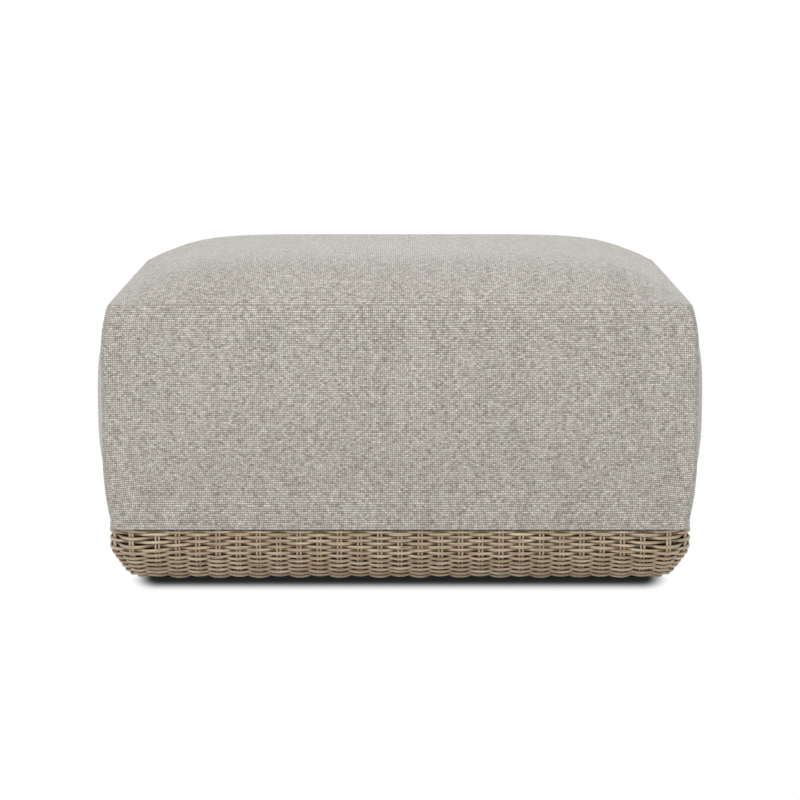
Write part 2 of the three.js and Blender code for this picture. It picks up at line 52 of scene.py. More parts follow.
# Studio
# A white sweep, soft light from above and from the front, and a long lens a little above the cushion.
scene = bpy.context.scene
scene.view_settings.view_transform = "Standard"

lens = 0.1205
camera_distance = 4.061
camera_height = 0.8555
camera_tilt = math.radians(8.91)

camera_data = bpy.data.cameras.new("camera")
camera_data.lens = lens / mm
camera_data.sensor_width = 36
camera_data.clip_end = 100
camera = bpy.data.objects.new("camera", camera_data)
camera.location = (0, -camera_distance, camera_height)
camera.rotation_euler = (math.pi / 2 - camera_tilt, 0, 0)
scene.collection.objects.link(camera)
scene.camera = camera


def add_node(tree, kind, inputs=None, **settings):
    """A new node with its settings, and with its inputs set to values or joined to other outputs."""
    node = tree.nodes.new(kind)
    for name, value in settings.items():
        setattr(node, name, value)
    for key, value in (inputs or {}).items():
        if isinstance(value, bpy.types.NodeSocket):
            tree.links.new(value, node.inputs[key])
        else:
            node.inputs[key].default_value = value
    return node


def camera_mask(tree):
    """1 where the camera, a mirror or a glass looks straight at the surface, 0 for the light it throws."""
    path = add_node(tree, "ShaderNodeLightPath")
    total = path.outputs["Is Camera Ray"]
    for name in ("Is Glossy Ray", "Is Transmission Ray"):
        total = add_node(tree, "ShaderNodeMath", {0: total, 1: path.outputs[name]}, operation="MAXIMUM").outputs[0]
    return total


world = bpy.data.worlds.new("studio")
world.use_nodes = True
world_tree = world.node_tree
world_tree.nodes.clear()
ambient_strength = 0.62
ambient = add_node(world_tree, "ShaderNodeBackground", {"Color": (1, 1, 1, 1), "Strength": ambient_strength})
backdrop = add_node(world_tree, "ShaderNodeBackground", {"Color": (1, 1, 1, 1), "Strength": 1.0})
world_mix = add_node(
    world_tree,
    "ShaderNodeMixShader",
    {0: camera_mask(world_tree), 1: ambient.outputs[0], 2: backdrop.outputs[0]},
)
add_node(world_tree, "ShaderNodeOutputWorld", {"Surface": world_mix.outputs[0]})
scene.world = world


def add_softbox(name, place, aim, size, power):
    """A square soft light at a place, turned to face a point."""
    light = bpy.data.lights.new(name, "AREA")
    light.size = size
    light.energy = power
    lamp = bpy.data.objects.new(name, light)
    direction = np.array(aim, float) - np.array(place, float)
    yaw = math.atan2(direction[1], direction[0]) - math.pi / 2
    pitch = math.atan2(direction[2], math.hypot(direction[0], direction[1]))
    lamp.rotation_euler = (pitch + math.pi / 2, 0, yaw)
    lamp.location = place
    scene.collection.objects.link(lamp)
    return lamp


add_softbox("overhead", (0, 0.2, 3.2), (0, 0, 0.3), 2.6, 25)
add_softbox("front", (-1.4, -3.6, 1.9), (0, 0, 0.25), 2.4, 46)
add_softbox("side", (3.2, -1.6, 1.6), (0, 0, 0.25), 2.0, 16)

floor_half = 12
floor_mesh = bpy.data.meshes.new("floor")
floor_corners = [(-1, -1), (1, -1), (1, 1), (-1, 1)]
floor_mesh.from_pydata([(x * floor_half, y * floor_half, 0) for x, y in floor_corners], [], [(0, 1, 2, 3)])
floor = bpy.data.objects.new("floor", floor_mesh)
scene.collection.objects.link(floor)

floor_paint = bpy.data.materials.new("floor_paint")
floor_paint.use_nodes = True
floor_tree = floor_paint.node_tree
floor_tree.nodes.clear()

# The floor lights the object as pale paper does. Seen directly it is plain white, and within a hand's
# breadth of the foot it carries a painted shadow of the plinth: a dark floor colour with a faint glow,
# faded by a smooth step of the distance from a rectangle under the plinth, measured double to the left
# and right, where the painted shadow ends sooner.
shadow_core = (690 * mm, 265 * mm, 0)
shadow_start, shadow_end = 22 * mm, 97 * mm
shadow_steps = [("MULTIPLY", (2, 1, 1)), ("ABSOLUTE", (0, 0, 0)), ("SUBTRACT", shadow_core)]
shadow_steps.append(("MAXIMUM", (0, 0, 0)))
away = add_node(floor_tree, "ShaderNodeTexCoord").outputs["Object"]
for operation, other in shadow_steps:
    away = add_node(floor_tree, "ShaderNodeVectorMath", {0: away, 1: other}, operation=operation).outputs[0]
distance = add_node(floor_tree, "ShaderNodeVectorMath", {0: away}, operation="LENGTH")
whiteness = add_node(
    floor_tree,
    "ShaderNodeMapRange",
    {0: distance.outputs["Value"], 1: shadow_start, 2: shadow_end, 3: 0.0, 4: 1.0},
    interpolation_type="SMOOTHERSTEP",
)
# Painted shadow: a near-black floor colour and a faint glow, which the camera sees close to the foot
floor_paper = add_node(floor_tree, "ShaderNodeBsdfDiffuse", {"Color": (0.86, 0.86, 0.86, 1)})
floor_dim = add_node(floor_tree, "ShaderNodeBsdfDiffuse", {"Color": (0.05, 0.05, 0.05, 1)})
floor_shadow_glow = add_node(floor_tree, "ShaderNodeEmission", {"Color": (1, 1, 1, 1), "Strength": 0.015})
floor_shadow = add_node(floor_tree, "ShaderNodeAddShader", {0: floor_dim.outputs[0], 1: floor_shadow_glow.outputs[0]})
floor_white = add_node(floor_tree, "ShaderNodeEmission", {"Color": (1, 1, 1, 1), "Strength": 1.0})
floor_seen = add_node(
    floor_tree,
    "ShaderNodeMixShader",
    {0: whiteness.outputs[0], 1: floor_shadow.outputs[0], 2: floor_white.outputs[0]},
)
floor_top = add_node(
    floor_tree,
    "ShaderNodeMixShader",
    {0: camera_mask(floor_tree), 1: floor_paper.outputs[0], 2: floor_seen.outputs[0]},
)
floor_side = add_node(floor_tree, "ShaderNodeNewGeometry")
floor_clear = add_node(floor_tree, "ShaderNodeBsdfTransparent")
floor_mix = add_node(
    floor_tree,
    "ShaderNodeMixShader",
    {0: floor_side.outputs["Backfacing"], 1: floor_top.outputs[0], 2: floor_clear.outputs[0]},
)
add_node(floor_tree, "ShaderNodeOutputMaterial", {"Surface": floor_mix.outputs[0]})
floor_mesh.materials.append(floor_paint)

# Levelling feet
# Four threaded plates sit in the inner corners of the frame. A zinc-plated stud with a spanner collar
# screws up into each, and its foot snaps into a turned nylon pad.
corner_names = ["front_right", "back_right", "back_left", "front_left"]
pad_rim_height = 3 * mm
pad_top_radius = 13 * mm
pad_lip = 1.2 * mm
pad_floor = 2.2 * mm
stud_radius = 4 * mm
stud_foot_radius = 7 * mm
collar_flats = 13 * mm
collar_height = 3 * mm
thread_pitch = 1.25 * mm
thread_depth = 0.55 * mm
running_gap = 0.3 * mm
plate_thickness = 4 * mm
boss_radius = 8 * mm


def eased(outline, ease, steps=3, closed=False):
    """An outline with its corners rounded: each corner gives way to a parabola that starts and ends at most
    ease away from it, and never past the middle of a stretch."""
    points = [np.array(point, float) for point in outline]
    count = len(points)
    result = []
    for index, here in enumerate(points):
        if not closed and index in (0, count - 1):
            result.append(here)
            continue
        before = points[index - 1] - here
        after = points[(index + 1) % count] - here
        start = here + before * min(0.5, ease / np.linalg.norm(before))
        end = here + after * min(0.5, ease / np.linalg.norm(after))
        for share in np.linspace(0, 1, steps + 1):
            result.append((1 - share) ** 2 * start + 2 * share * (1 - share) * here + share**2 * end)
    return np.array(result)


def mesh_of(name, points, quads, uv=None, weld=True):
    """A mesh from an array of points and one of quads. Points that lie together are merged, and faces of a
    closed body are turned outwards. uv holds one pair for each corner of each quad."""
    mesh = bpy.data.meshes.new(name)
    mesh.vertices.add(len(points))
    mesh.vertices.foreach_set("co", np.ascontiguousarray(points, np.float32).ravel())
    mesh.loops.add(quads.size)
    mesh.loops.foreach_set("vertex_index", quads.astype(np.int32).ravel())
    mesh.polygons.add(len(quads))
    mesh.polygons.foreach_set("loop_start", np.arange(0, quads.size, 4, dtype=np.int32))
    mesh.update(calc_edges=True)
    if uv is not None:
        layer = mesh.uv_layers.new(name="along")
        layer.data.foreach_set("uv", np.ascontiguousarray(uv, np.float32).ravel())
    shell = bmesh.new()
    shell.from_mesh(mesh)
    if weld:
        bmesh.ops.remove_doubles(shell, verts=shell.verts, dist=1e-6)
    bmesh.ops.recalc_face_normals(shell, faces=shell.faces)
    for face in shell.faces:
        face.smooth = True
    shell.to_mesh(mesh)
    shell.free()
    return mesh


def grid_quads(grids, rows, columns, wrap_rows=False, wrap_columns=True):
    """Quads over grids of points numbered grid by grid and row by row. Each joins a point with the next in
    its row and in its column; where a direction wraps, the last joins the first."""
    row_steps = np.arange(rows if wrap_rows else rows - 1)
    column_steps = np.arange(columns if wrap_columns else columns - 1)
    grid, row, column = np.meshgrid(np.arange(grids), row_steps, column_steps, indexing="ij")

    def corner(down, across):
        return (grid * rows + (row + down) % rows) * columns + (column + across) % columns

    quads = np.stack([corner(0, 0), corner(0, 1), corner(1, 1), corner(1, 0)], axis=-1)
    return quads.reshape(-1, 4)


def grid_uv(along, around):
    """Corner pairs for the quads of wrapped grids: the place along each grid's rows, with one value more
    than it has quads that way, and the share round it."""
    grids = len(along)
    row, column = np.meshgrid(np.arange(along.shape[1] - 1), np.arange(len(around) - 1), indexing="ij")
    pairs = []
    for down, across in ((0, 0), (0, 1), (1, 1), (1, 0)):
        lengthwise = along[:, row + down]
        round_it = np.broadcast_to(around[column + across], lengthwise.shape)
        pairs.append(np.stack([lengthwise, round_it], axis=-1))
    return np.stack(pairs, axis=-2).reshape(grids * row.size * 4, 2)


def joined(parts):
    """Several pairs of points and quads as one pair, with the quads renumbered."""
    points = np.concatenate([part[0] for part in parts])
    starts = np.cumsum([0] + [len(part[0]) for part in parts[:-1]])
    quads = np.concatenate([part[1] + start for part, start in zip(parts, starts)])
    return points, quads


def turned(outline, sides, centre=(0, 0, 0)):
    """A body turned round the upright through its centre: each outline point (radius, height) becomes a
    ring of points at that radius and height."""
    outline = np.asarray(outline, float)
    angles = np.arange(sides) / sides * 2 * math.pi
    radius = outline[:, 0, None] * np.ones(sides)
    height = outline[:, 1, None] * np.ones(sides)
    points = np.stack([radius * np.cos(angles), radius * np.sin(angles), height], axis=-1)
    return points.reshape(-1, 3) + np.array(centre), grid_quads(1, len(outline), sides)


def add_piece(mesh, material, body, nodes=()):
    """An object for a mesh that rides on a body and, where nodes are named, takes their place."""
    piece = bpy.data.objects.new(mesh.name, mesh)
    mesh.materials.append(material)
    scene.collection.objects.link(piece)
    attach(piece, body)
    if nodes:
        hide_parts(*nodes)
    return piece


def new_material(name, roughness, specular=0.5, metallic=0.0):
    """A material with a Principled BSDF, and the tree, the shader and its Object coordinates."""
    material = bpy.data.materials.new(name)
    material.use_nodes = True
    tree = material.node_tree
    shader = tree.nodes["Principled BSDF"]
    shader.inputs["Roughness"].default_value = roughness
    shader.inputs["Specular IOR Level"].default_value = specular
    shader.inputs["Metallic"].default_value = metallic
    place = add_node(tree, "ShaderNodeTexCoord").outputs["Object"]
    return material, tree, shader, place


def colour(red, green, blue):
    """A colour as seen on a screen, 0 to 255, as the linear colour that a shader takes."""
    share = np.array([red, green, blue]) / 255
    linear = np.where(share <= 0.04045, share / 12.92, ((share + 0.055) / 1.055) ** 2.4)
    return (*linear, 1)


def blended(tree, factor, first, second):
    """A colour between two others."""
    mix = add_node(tree, "ShaderNodeMix", {0: factor, 6: first, 7: second}, data_type="RGBA")
    return mix.outputs[2]


def speckle_group():
    """Fine speckle for painted, plated and moulded surfaces: two sizes of noise, as a mask and a height."""
    group = bpy.data.node_groups.new("speckle", "ShaderNodeTree")
    group.interface.new_socket("Place", in_out="INPUT", socket_type="NodeSocketVector")
    group.interface.new_socket("Scale", in_out="INPUT", socket_type="NodeSocketFloat")
    group.interface.new_socket("Mask", in_out="OUTPUT", socket_type="NodeSocketFloat")
    group.interface.new_socket("Height", in_out="OUTPUT", socket_type="NodeSocketFloat")
    source = add_node(group, "NodeGroupInput")
    fine = add_node(
        group,
        "ShaderNodeTexNoise",
        {"Vector": source.outputs["Place"], "Scale": source.outputs["Scale"], "Detail": 2.0},
    )
    broad_scale = add_node(group, "ShaderNodeMath", {0: source.outputs["Scale"], 1: 0.04}, operation="MULTIPLY")
    broad = add_node(
        group,
        "ShaderNodeTexNoise",
        {"Vector": source.outputs["Place"], "Scale": broad_scale.outputs[0], "Detail": 4.0},
    )
    mask = add_node(group, "ShaderNodeMath", {0: fine.outputs[0], 1: broad.outputs[0]}, operation="MULTIPLY")
    result = add_node(group, "NodeGroupOutput")
    group.links.new(mask.outputs[0], result.inputs["Mask"])
    group.links.new(fine.outputs[0], result.inputs["Height"])
    return group


speckle = speckle_group()


def speckled(name, dark, light, scale, roughness, bump, metallic=0.0):
    """A plain hard finish with fine speckle between two colours and a little bump."""
    material, tree, shader, place = new_material(name, roughness, metallic=metallic)
    grain = add_node(tree, "ShaderNodeGroup", node_tree=speckle)
    tree.links.new(place, grain.inputs["Place"])
    grain.inputs["Scale"].default_value = scale
    spread = add_node(
        tree, "ShaderNodeMapRange", {0: grain.outputs["Mask"], 1: 0.15, 2: 0.38, 3: 0.0, 4: 1.0}
    )
    tree.links.new(blended(tree, spread.outputs[0], dark, light), shader.inputs["Base Color"])
    rough = add_node(
        tree,
        "ShaderNodeMapRange",
        {0: grain.outputs["Height"], 1: 0.3, 2: 0.7, 3: roughness - 0.06, 4: roughness + 0.08},
    )
    tree.links.new(rough.outputs[0], shader.inputs["Roughness"])
    relief = add_node(
        tree, "ShaderNodeBump", {"Height": grain.outputs["Height"], "Strength": 0.5, "Distance": bump}
    )
    tree.links.new(relief.outputs[0], shader.inputs["Normal"])
    return material


nylon = speckled("nylon", colour(34, 33, 31), colour(52, 50, 47), 900, 0.55, 0.05 * mm)
zinc = speckled("zinc", colour(160, 164, 168), colour(205, 208, 210), 700, 0.34, 0.02 * mm, metallic=1.0)
powder_coat = speckled("powder_coat", colour(34, 28, 24), colour(48, 41, 34), 1400, 0.5, 0.05 * mm)


def stud_surface(low, high, centre):
    """The threaded shank, as rings of points: the radius falls by the thread's depth along a helix, as a
    triangle wave of height less the share of a turn."""
    sides = 24
    rows = int((high - low) / thread_pitch * 8)
    height = np.linspace(low, high, rows)[:, None]
    turn = np.arange(sides)[None, :] / sides
    wave = np.abs(((height / thread_pitch - turn) % 1) * 2 - 1)
    ends = np.clip(np.minimum(height - low, high - height) / thread_pitch, 0, 1)
    radius = stud_radius - thread_depth * (1 - (1 - wave) * ends)
    angle = turn * 2 * math.pi
    points = np.stack([radius * np.cos(angle), radius * np.sin(angle), height + 0 * angle], axis=-1)
    top = points[-1:] * [0, 0, 1]
    bottom = points[:1] * [0, 0, 1]
    points = np.concatenate([bottom, points, top])
    return points.reshape(-1, 3) + np.array(centre), grid_quads(1, len(points), sides)


def hexagon(low, high, centre):
    """The spanner collar: an upright hexagon with its top and bottom edges chamfered to a circle."""
    angles = np.arange(48) / 48 * 2 * math.pi
    flat = collar_flats / 2 / np.cos((angles + math.pi / 6) % (math.pi / 3) - math.pi / 6)
    chamfer = 0.4 * mm
    rows = []
    for height, reach in ((low, 0), (low, 1), (low + chamfer, 2), (high - chamfer, 2), (high, 1), (high, 0)):
        ring = np.minimum(flat, collar_flats / 2) if reach == 1 else flat
        rows.append(np.stack([ring * np.cos(angles), ring * np.sin(angles), angles * 0 + height], axis=-1))
        if reach == 0:
            rows[-1][:, :2] = 0
    points = np.stack(rows)
    return points.reshape(-1, 3) + np.array(centre), grid_quads(1, len(rows), 48)


def plate_surface(outline, low, high, edge, centre):
    """A plate with eased edges: one closed outline, drawn in a little towards its middle at both faces."""
    middle = (outline.min(axis=0) + outline.max(axis=0)) / 2
    shrink = 1 - edge / np.abs(outline - middle).max()
    rows = []
    for height, scale in ((low, 0), (low, shrink), (low + edge, 1), (high - edge, 1), (high, shrink), (high, 0)):
        rows.append(np.column_stack([middle + (outline - middle) * scale, np.full(len(outline), height)]))
    points = np.stack(rows)
    return points.reshape(-1, 3) + np.array(centre), grid_quads(1, len(rows), len(outline))


for corner_name in corner_names:
    pad_low, pad_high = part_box(f"glide_pad_{corner_name}")
    stud_low, stud_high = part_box(f"glide_stud_{corner_name}")
    plate_low, plate_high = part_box(f"foot_plate_{corner_name}")
    middle = ((plate_low.x + plate_high.x) / 2, (plate_low.y + plate_high.y) / 2, 0)
    pad_radius = (pad_high.y - pad_low.y) / 2
    socket = stud_foot_radius + running_gap
    mouth = stud_radius + running_gap
    pad_outline = [
        (0, 0.3 * mm),
        (pad_radius * 0.55, 0.3 * mm),
        (pad_radius * 0.62, 0),
        (pad_radius, 0),
        (pad_radius, pad_rim_height),
        (pad_top_radius, pad_high.z),
        (mouth, pad_high.z),
        (mouth, pad_high.z - pad_lip),
        (socket, pad_high.z - pad_lip),
        (socket, pad_floor),
        (0, pad_floor),
    ]
    pad = mesh_of(f"pad_{corner_name}", *turned(eased(pad_outline, 0.6 * mm), 64, middle))
    add_piece(pad, nylon, f"glide_pad_{corner_name}", [f"glide_pad_{corner_name}"])

    collar_low = pad_high.z + running_gap
    foot_top = pad_high.z - pad_lip - running_gap
    stud_foot = [
        (0, stud_low.z),
        (stud_foot_radius, stud_low.z),
        (stud_foot_radius, foot_top),
        (stud_radius, foot_top),
        (stud_radius, collar_low + running_gap),
        (0, collar_low + running_gap),
    ]
    stud = joined(
        [
            turned(eased(stud_foot, 0.3 * mm), 48, middle),
            hexagon(collar_low, collar_low + collar_height, middle),
            stud_surface(collar_low + collar_height / 2, stud_high.z, middle),
        ]
    )
    stud = mesh_of(f"stud_{corner_name}", *stud)
    add_piece(stud, zinc, f"glide_stud_{corner_name}", [f"glide_stud_{corner_name}"])

    plate_top = plate_low.z + plate_thickness
    bore = stud_radius + 0.15 * mm
    boss_outline = [
        (bore, plate_low.z),
        (bore, plate_high.z),
        (boss_radius, plate_high.z),
        (boss_radius, plate_top),
        (boss_radius + 2 * mm, plate_top - 0.2 * mm),
        (boss_radius + 2 * mm, plate_low.z - 0.1 * mm),
    ]
    half = (plate_high.x - plate_low.x) / 2
    square = eased([(-half, -half), (half, -half), (half, half), (-half, half)], 3 * mm, 6, closed=True)
    plate = joined(
        [
            plate_surface(square, plate_low.z, plate_top, 0.5 * mm, middle),
            turned(eased(boss_outline + boss_outline[:1], 0.5 * mm), 48, middle),
        ]
    )
    plate = mesh_of(f"plate_{corner_name}", *plate)
    add_piece(plate, powder_coat, "base", [f"foot_plate_{corner_name}"])

# Welded frame
# Aluminium, powder coated. Each side has a square tube at the deck and a solid bar at the foot, and a
# casting joins them round each corner.
plinth_corner_radius = 60 * mm
strand_depth = 2.05 * mm
strand_height = 2.25 * mm
strand_spread = 0.45 * mm
front_stake_count = 25
side_stake_count = 18
stakes_per_corner = 2
rod_radius = 1.65 * mm
corner_rod_radius = 1.9 * mm
rod_offset = 2.4 * mm
weave_clearance = 0.1 * mm
upright_length = 30 * mm
slope_length = 36 * mm
slope_angle = math.radians(35)
tuck_angle = math.radians(52)
rail_width = 20 * mm
rail_wall = 2 * mm
casting_overlap = 6 * mm
seat_gap = 0.3 * mm

weave_low, weave_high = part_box("woven_row_01")
casting_low, casting_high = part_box("corner_casting_front_right")
front_low, front_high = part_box("side_frame_front")
first_slat_low, first_slat_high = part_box("deck_slat_1")
deck_height = front_high.z
corner_x = weave_high.x - plinth_corner_radius
corner_y = weave_high.y - plinth_corner_radius
weave_depth = rod_radius + strand_depth + weave_clearance
stake_radius = plinth_corner_radius - weave_depth - strand_depth
rail_radius = first_slat_high.y + seat_gap + rail_width - corner_y
stake_thickness = 3.2 * mm
foot_inset = 41.5 * mm
bar_radius = -front_low.y - stake_thickness / 2 - corner_y - foot_inset
bar_bottom = casting_low.z
bar_top = bar_bottom + 15 * mm
weave_top = deck_height - 3.4 * mm


def wall_at(length):
    """How far the wall has come in, its height and its tilt at lengths down from the rim. The tilt steps
    from upright to the slope and on to the tuck, each over a short bend, and the rest is its integral."""
    bend = 9 * mm
    step = 0.25 * mm
    table = np.arange(-10 * mm, 130 * mm, step)

    def ramp(start):
        share = np.clip((table - start) / bend + 0.5, 0, 1)
        return share * share * (3 - 2 * share)

    tilt = slope_angle * ramp(upright_length) + (tuck_angle - slope_angle) * ramp(upright_length + slope_length)
    inset = np.cumsum(np.sin(tilt)) * step
    fall = np.cumsum(np.cos(tilt)) * step
    start = np.interp(0, table, fall)
    height = weave_top - (fall - start)
    return np.interp(length, table, inset), np.interp(length, table, height), np.interp(length, table, tilt)


# The stakes' places round the plinth, measured along the stakes' own outline from the front left corner
side_lengths = [2 * corner_x, 2 * corner_y, 2 * corner_x, 2 * corner_y]
quarter_length = stake_radius * math.pi / 2
side_starts = np.cumsum([0] + [side + quarter_length for side in side_lengths[:-1]])
perimeter = sum(side_lengths) + 4 * quarter_length


def on_wall(place, radius):
    """A point of the plan, its outward direction and which side or corner it is on. The place runs along
    the straight side and then round the corner, at a radius from the corner's centre."""
    place = np.asarray(place) % perimeter
    side = np.searchsorted(side_starts, place, side="right") - 1
    along = place - side_starts[side]
    length = np.array(side_lengths)[side]
    turn = np.clip(along - length, 0, None) / stake_radius
    facing = (side - 1) * math.pi / 2
    reach = np.array([corner_y, corner_x, corner_y, corner_x])[side]
    onward = np.minimum(along, length) - length / 2
    out = np.stack([np.cos(facing + turn), np.sin(facing + turn)], axis=-1)
    side_out = np.stack([np.cos(facing), np.sin(facing)], axis=-1)
    side_on = np.stack([-np.sin(facing), np.cos(facing)], axis=-1)
    anchor = side_out * reach[..., None] + side_on * onward[..., None]
    return anchor + out * np.asarray(radius)[..., None], out


side_names = ["front", "right", "back", "left"]


def stake_places():
    """Places of all stakes round the plinth, and the name of the side or corner that carries each. Each side
    has its stakes at an even pitch, and the corner stakes share out what is left between two sides."""
    places, holders = [], []
    counts = [front_stake_count, side_stake_count] * 2
    pitches = [length / count for length, count in zip(side_lengths, counts)]
    for side in range(4):
        places += [side_starts[side] + (number + 0.5) * pitches[side] for number in range(counts[side])]
        holders += [side_names[side]] * counts[side]
        gap = pitches[side] / 2 + quarter_length + pitches[(side + 1) % 4] / 2
        spacing = gap / (stakes_per_corner + 1)
        places += [places[-1] + (number + 1) * spacing for number in range(stakes_per_corner)]
        holders += [corner_names[side]] * stakes_per_corner
    return np.array(places), holders


places, holders = stake_places()


def swept_profile(profile, line, across, wall=None):
    """A closed profile of (sideways, up) points carried along a level line. across holds the unit vector
    that sideways means at each point of the line. A wall makes it a tube, open at both ends."""
    profile = np.asarray(profile, float)

    def rings(outline):
        level = line[:, None, :2] + outline[None, :, 0, None] * across[:, None, :]
        height = np.broadcast_to(outline[None, :, 1, None], (*level.shape[:2], 1))
        return np.concatenate([level, height], axis=-1)

    outer = rings(profile)
    if wall is None:
        first = np.broadcast_to(outer[0].mean(axis=0), outer[:1].shape)
        last = np.broadcast_to(outer[-1].mean(axis=0), outer[:1].shape)
        points = np.concatenate([first, outer, last])
        return points.reshape(-1, 3), grid_quads(1, len(points), len(profile))
    centre = (profile.min(axis=0) + profile.max(axis=0)) / 2
    half = (profile.max(axis=0) - profile.min(axis=0)) / 2
    inner = rings(centre + (profile - centre) * (half - wall) / half)
    points = np.concatenate([outer, inner[::-1]])
    return points.reshape(-1, 3), grid_quads(1, len(points), len(profile), wrap_rows=True)


def rectangle(low_side, high_side, low_z, high_z, ease):
    """A closed rectangle with rounded corners, as (sideways, up) points."""
    corners = [(low_side, low_z), (high_side, low_z), (high_side, high_z), (low_side, high_z)]
    return eased(corners, ease, 3, closed=True)


def side_of_frame(side):
    """Top rail and bottom bar of one side."""
    facing = (side - 1) * math.pi / 2
    out = np.array([math.cos(facing), math.sin(facing)])
    on = np.array([-out[1], out[0]])
    reach = [corner_y, corner_x][side % 2]
    end = side_lengths[side] / 2 - casting_overlap - seat_gap
    line = np.array([on * -end, on * end]) + out * reach
    across = np.array([out, out])
    rail = rectangle(rail_radius - rail_width, rail_radius, deck_height - rail_width, deck_height, 2.5 * mm)
    bar = rectangle(0, bar_radius, bar_bottom, bar_top, 1 * mm)
    name = side_names[side]
    parts = [swept_profile(rail, line, across, rail_wall), swept_profile(bar, line, across)]
    mesh = mesh_of(f"frame_{name}", *joined(parts))
    return add_piece(mesh, powder_coat, "base", [f"side_frame_{name}"])


def corner_of_frame(side):
    """A corner casting: one profile carried round the quarter turn, with a short straight stretch at each
    end."""
    facing = (side - 1) * math.pi / 2
    reach = [corner_y, corner_x][side % 2]
    half = side_lengths[side] / 2
    out = np.array([math.cos(facing), math.sin(facing)])
    on = np.array([-out[1], out[0]])
    centre = out * reach + on * half
    turns = np.linspace(0, math.pi / 2, 17)
    turns = np.concatenate([[0], turns, [math.pi / 2]])
    across = np.cos(turns)[:, None] * out + np.sin(turns)[:, None] * on
    line = np.tile(centre, (len(turns), 1))
    line[0] -= on * casting_overlap
    line[-1] -= out * casting_overlap
    profile = [
        (0.2 * mm, bar_bottom),
        (bar_radius, bar_bottom),
        (bar_radius, bar_top),
        (rail_radius, deck_height - rail_width),
        (rail_radius, deck_height),
        (rail_radius - rail_width, deck_height),
        (rail_radius - rail_width, deck_height - rail_width - rail_wall),
        (0.2 * mm, bar_top + rail_wall),
    ]
    name = corner_names[side]
    mesh = mesh_of(f"casting_{name}", *swept_profile(eased(profile, 1.5 * mm, 3, closed=True), line, across))
    return add_piece(mesh, powder_coat, "base", [f"corner_casting_{name}"])


for side in range(4):
    side_of_frame(side)
    corner_of_frame(side)

# Deck slats
# Flat aluminium tubes from the front rail to the back rail, level with their tops, which carry the cushion.
slat_wall = 1.5 * mm
for number in range(1, 7):
    slat_low, slat_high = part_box(f"deck_slat_{number}")
    slat_middle = (slat_low.x + slat_high.x) / 2
    slat_half = (slat_high.x - slat_low.x) / 2
    slat_line = np.array([(slat_middle, slat_low.y), (slat_middle, slat_high.y)])
    slat_across = np.array([(1.0, 0.0), (1.0, 0.0)])
    slat_profile = rectangle(-slat_half, slat_half, slat_low.z, slat_high.z, 2.5 * mm)
    slat = mesh_of(f"slat_{number}", *swept_profile(slat_profile, slat_line, slat_across, slat_wall))
    add_piece(slat, powder_coat, "base", [f"deck_slat_{number}"])

# Stakes
# Pairs of round resin rods: they come out of the top rail, follow the wall, tuck in under it and end in the
# bottom bar. They leave the rail by turns over and under the strand that passes inside them there, and
# round the corners they are a little thicker.
low_hook_drop = 6.15 * mm
high_hook_drop = 0.2 * mm + rod_radius
weld_depth = 1 * mm


def stake_path(hook_drop):
    """The rods' line in their upright plane, as distance out from the corner's centre, and height: out from
    the rail at a drop below the deck, down the wall, in under it and level into the bottom bar."""
    hook_height = deck_height - hook_drop
    hook_end = weave_top - 14 * mm
    hook = [(rail_radius - weld_depth, hook_height), (stake_radius, hook_height), (stake_radius, hook_end)]
    hook = eased(hook, 3 * mm, 6)[:-1]
    inset, height, _ = wall_at(np.linspace(14 * mm, 91 * mm, 28))
    wall = np.column_stack([stake_radius - inset, height])
    foot_height = bar_bottom + rod_radius
    foot = [(bar_radius - weld_depth, foot_height)]
    return np.concatenate([hook, wall[height > foot_height], foot])


def rod_line(hook_drop):
    """The stakes' path with its ends doubled, the direction square to it, and the length along it."""
    path = stake_path(hook_drop)
    along = np.gradient(path, axis=0)
    along /= np.linalg.norm(along, axis=1)[:, None]
    normal = np.column_stack([-along[:, 1], along[:, 0]])
    length = np.concatenate([[0], np.cumsum(np.linalg.norm(np.diff(path, axis=0), axis=1))])
    ends = np.array([0, *range(len(path)), len(path) - 1])
    return path[ends], normal[ends], length[ends]


rod_lines = [rod_line(low_hook_drop), rod_line(high_hook_drop)]


def rods(name):
    """The pairs of rods of one side or corner, as tubes along the stakes' path, with the length along them
    as texture places. Each ring of a tube is a circle square to the path, the first and last closed to a
    point, and round a corner the pairs close up towards the foot."""
    corner = name in corner_names
    taper = np.full((len(rod_lines[0][2]), 1), corner_rod_radius if corner else rod_radius)
    taper[[0, -1]] = 0
    sides = 8
    angle = np.arange(sides) / sides * 2 * math.pi
    tubes, lengthwise = [], []
    for index in [number for number, holder in enumerate(holders) if holder == name]:
        path, normal, length = rod_lines[index % 2]
        anchor, out = on_wall(places[index], 0.0)
        sideways = np.array([-out[1], out[0]])
        for side in (-1, 1):
            offset = side * rod_offset * (path[:, 0] / stake_radius if corner else np.ones(len(path)))
            ring_out = path[:, 0, None] + taper * normal[:, 0, None] * np.cos(angle)
            ring_up = path[:, 1, None] + taper * normal[:, 1, None] * np.cos(angle)
            ring_side = offset[:, None] + taper * np.sin(angle)
            plan = anchor + ring_out[..., None] * out + ring_side[..., None] * sideways
            tubes.append(np.concatenate([plan, ring_up[..., None]], axis=-1))
            lengthwise.append(length + index * 0.31 + side * 2.7)
    tubes = np.stack(tubes)
    uv = grid_uv(np.stack(lengthwise), np.arange(sides + 1) / sides)
    return tubes.reshape(-1, 3), grid_quads(len(tubes), tubes.shape[1], sides), uv


def multiplied(tree, factor, under, over):
    """A colour multiplied by another, as far as the factor says."""
    mix = add_node(
        tree, "ShaderNodeMix", {0: factor, 6: under, 7: over}, data_type="RGBA", blend_type="MULTIPLY"
    )
    return mix.outputs[2]


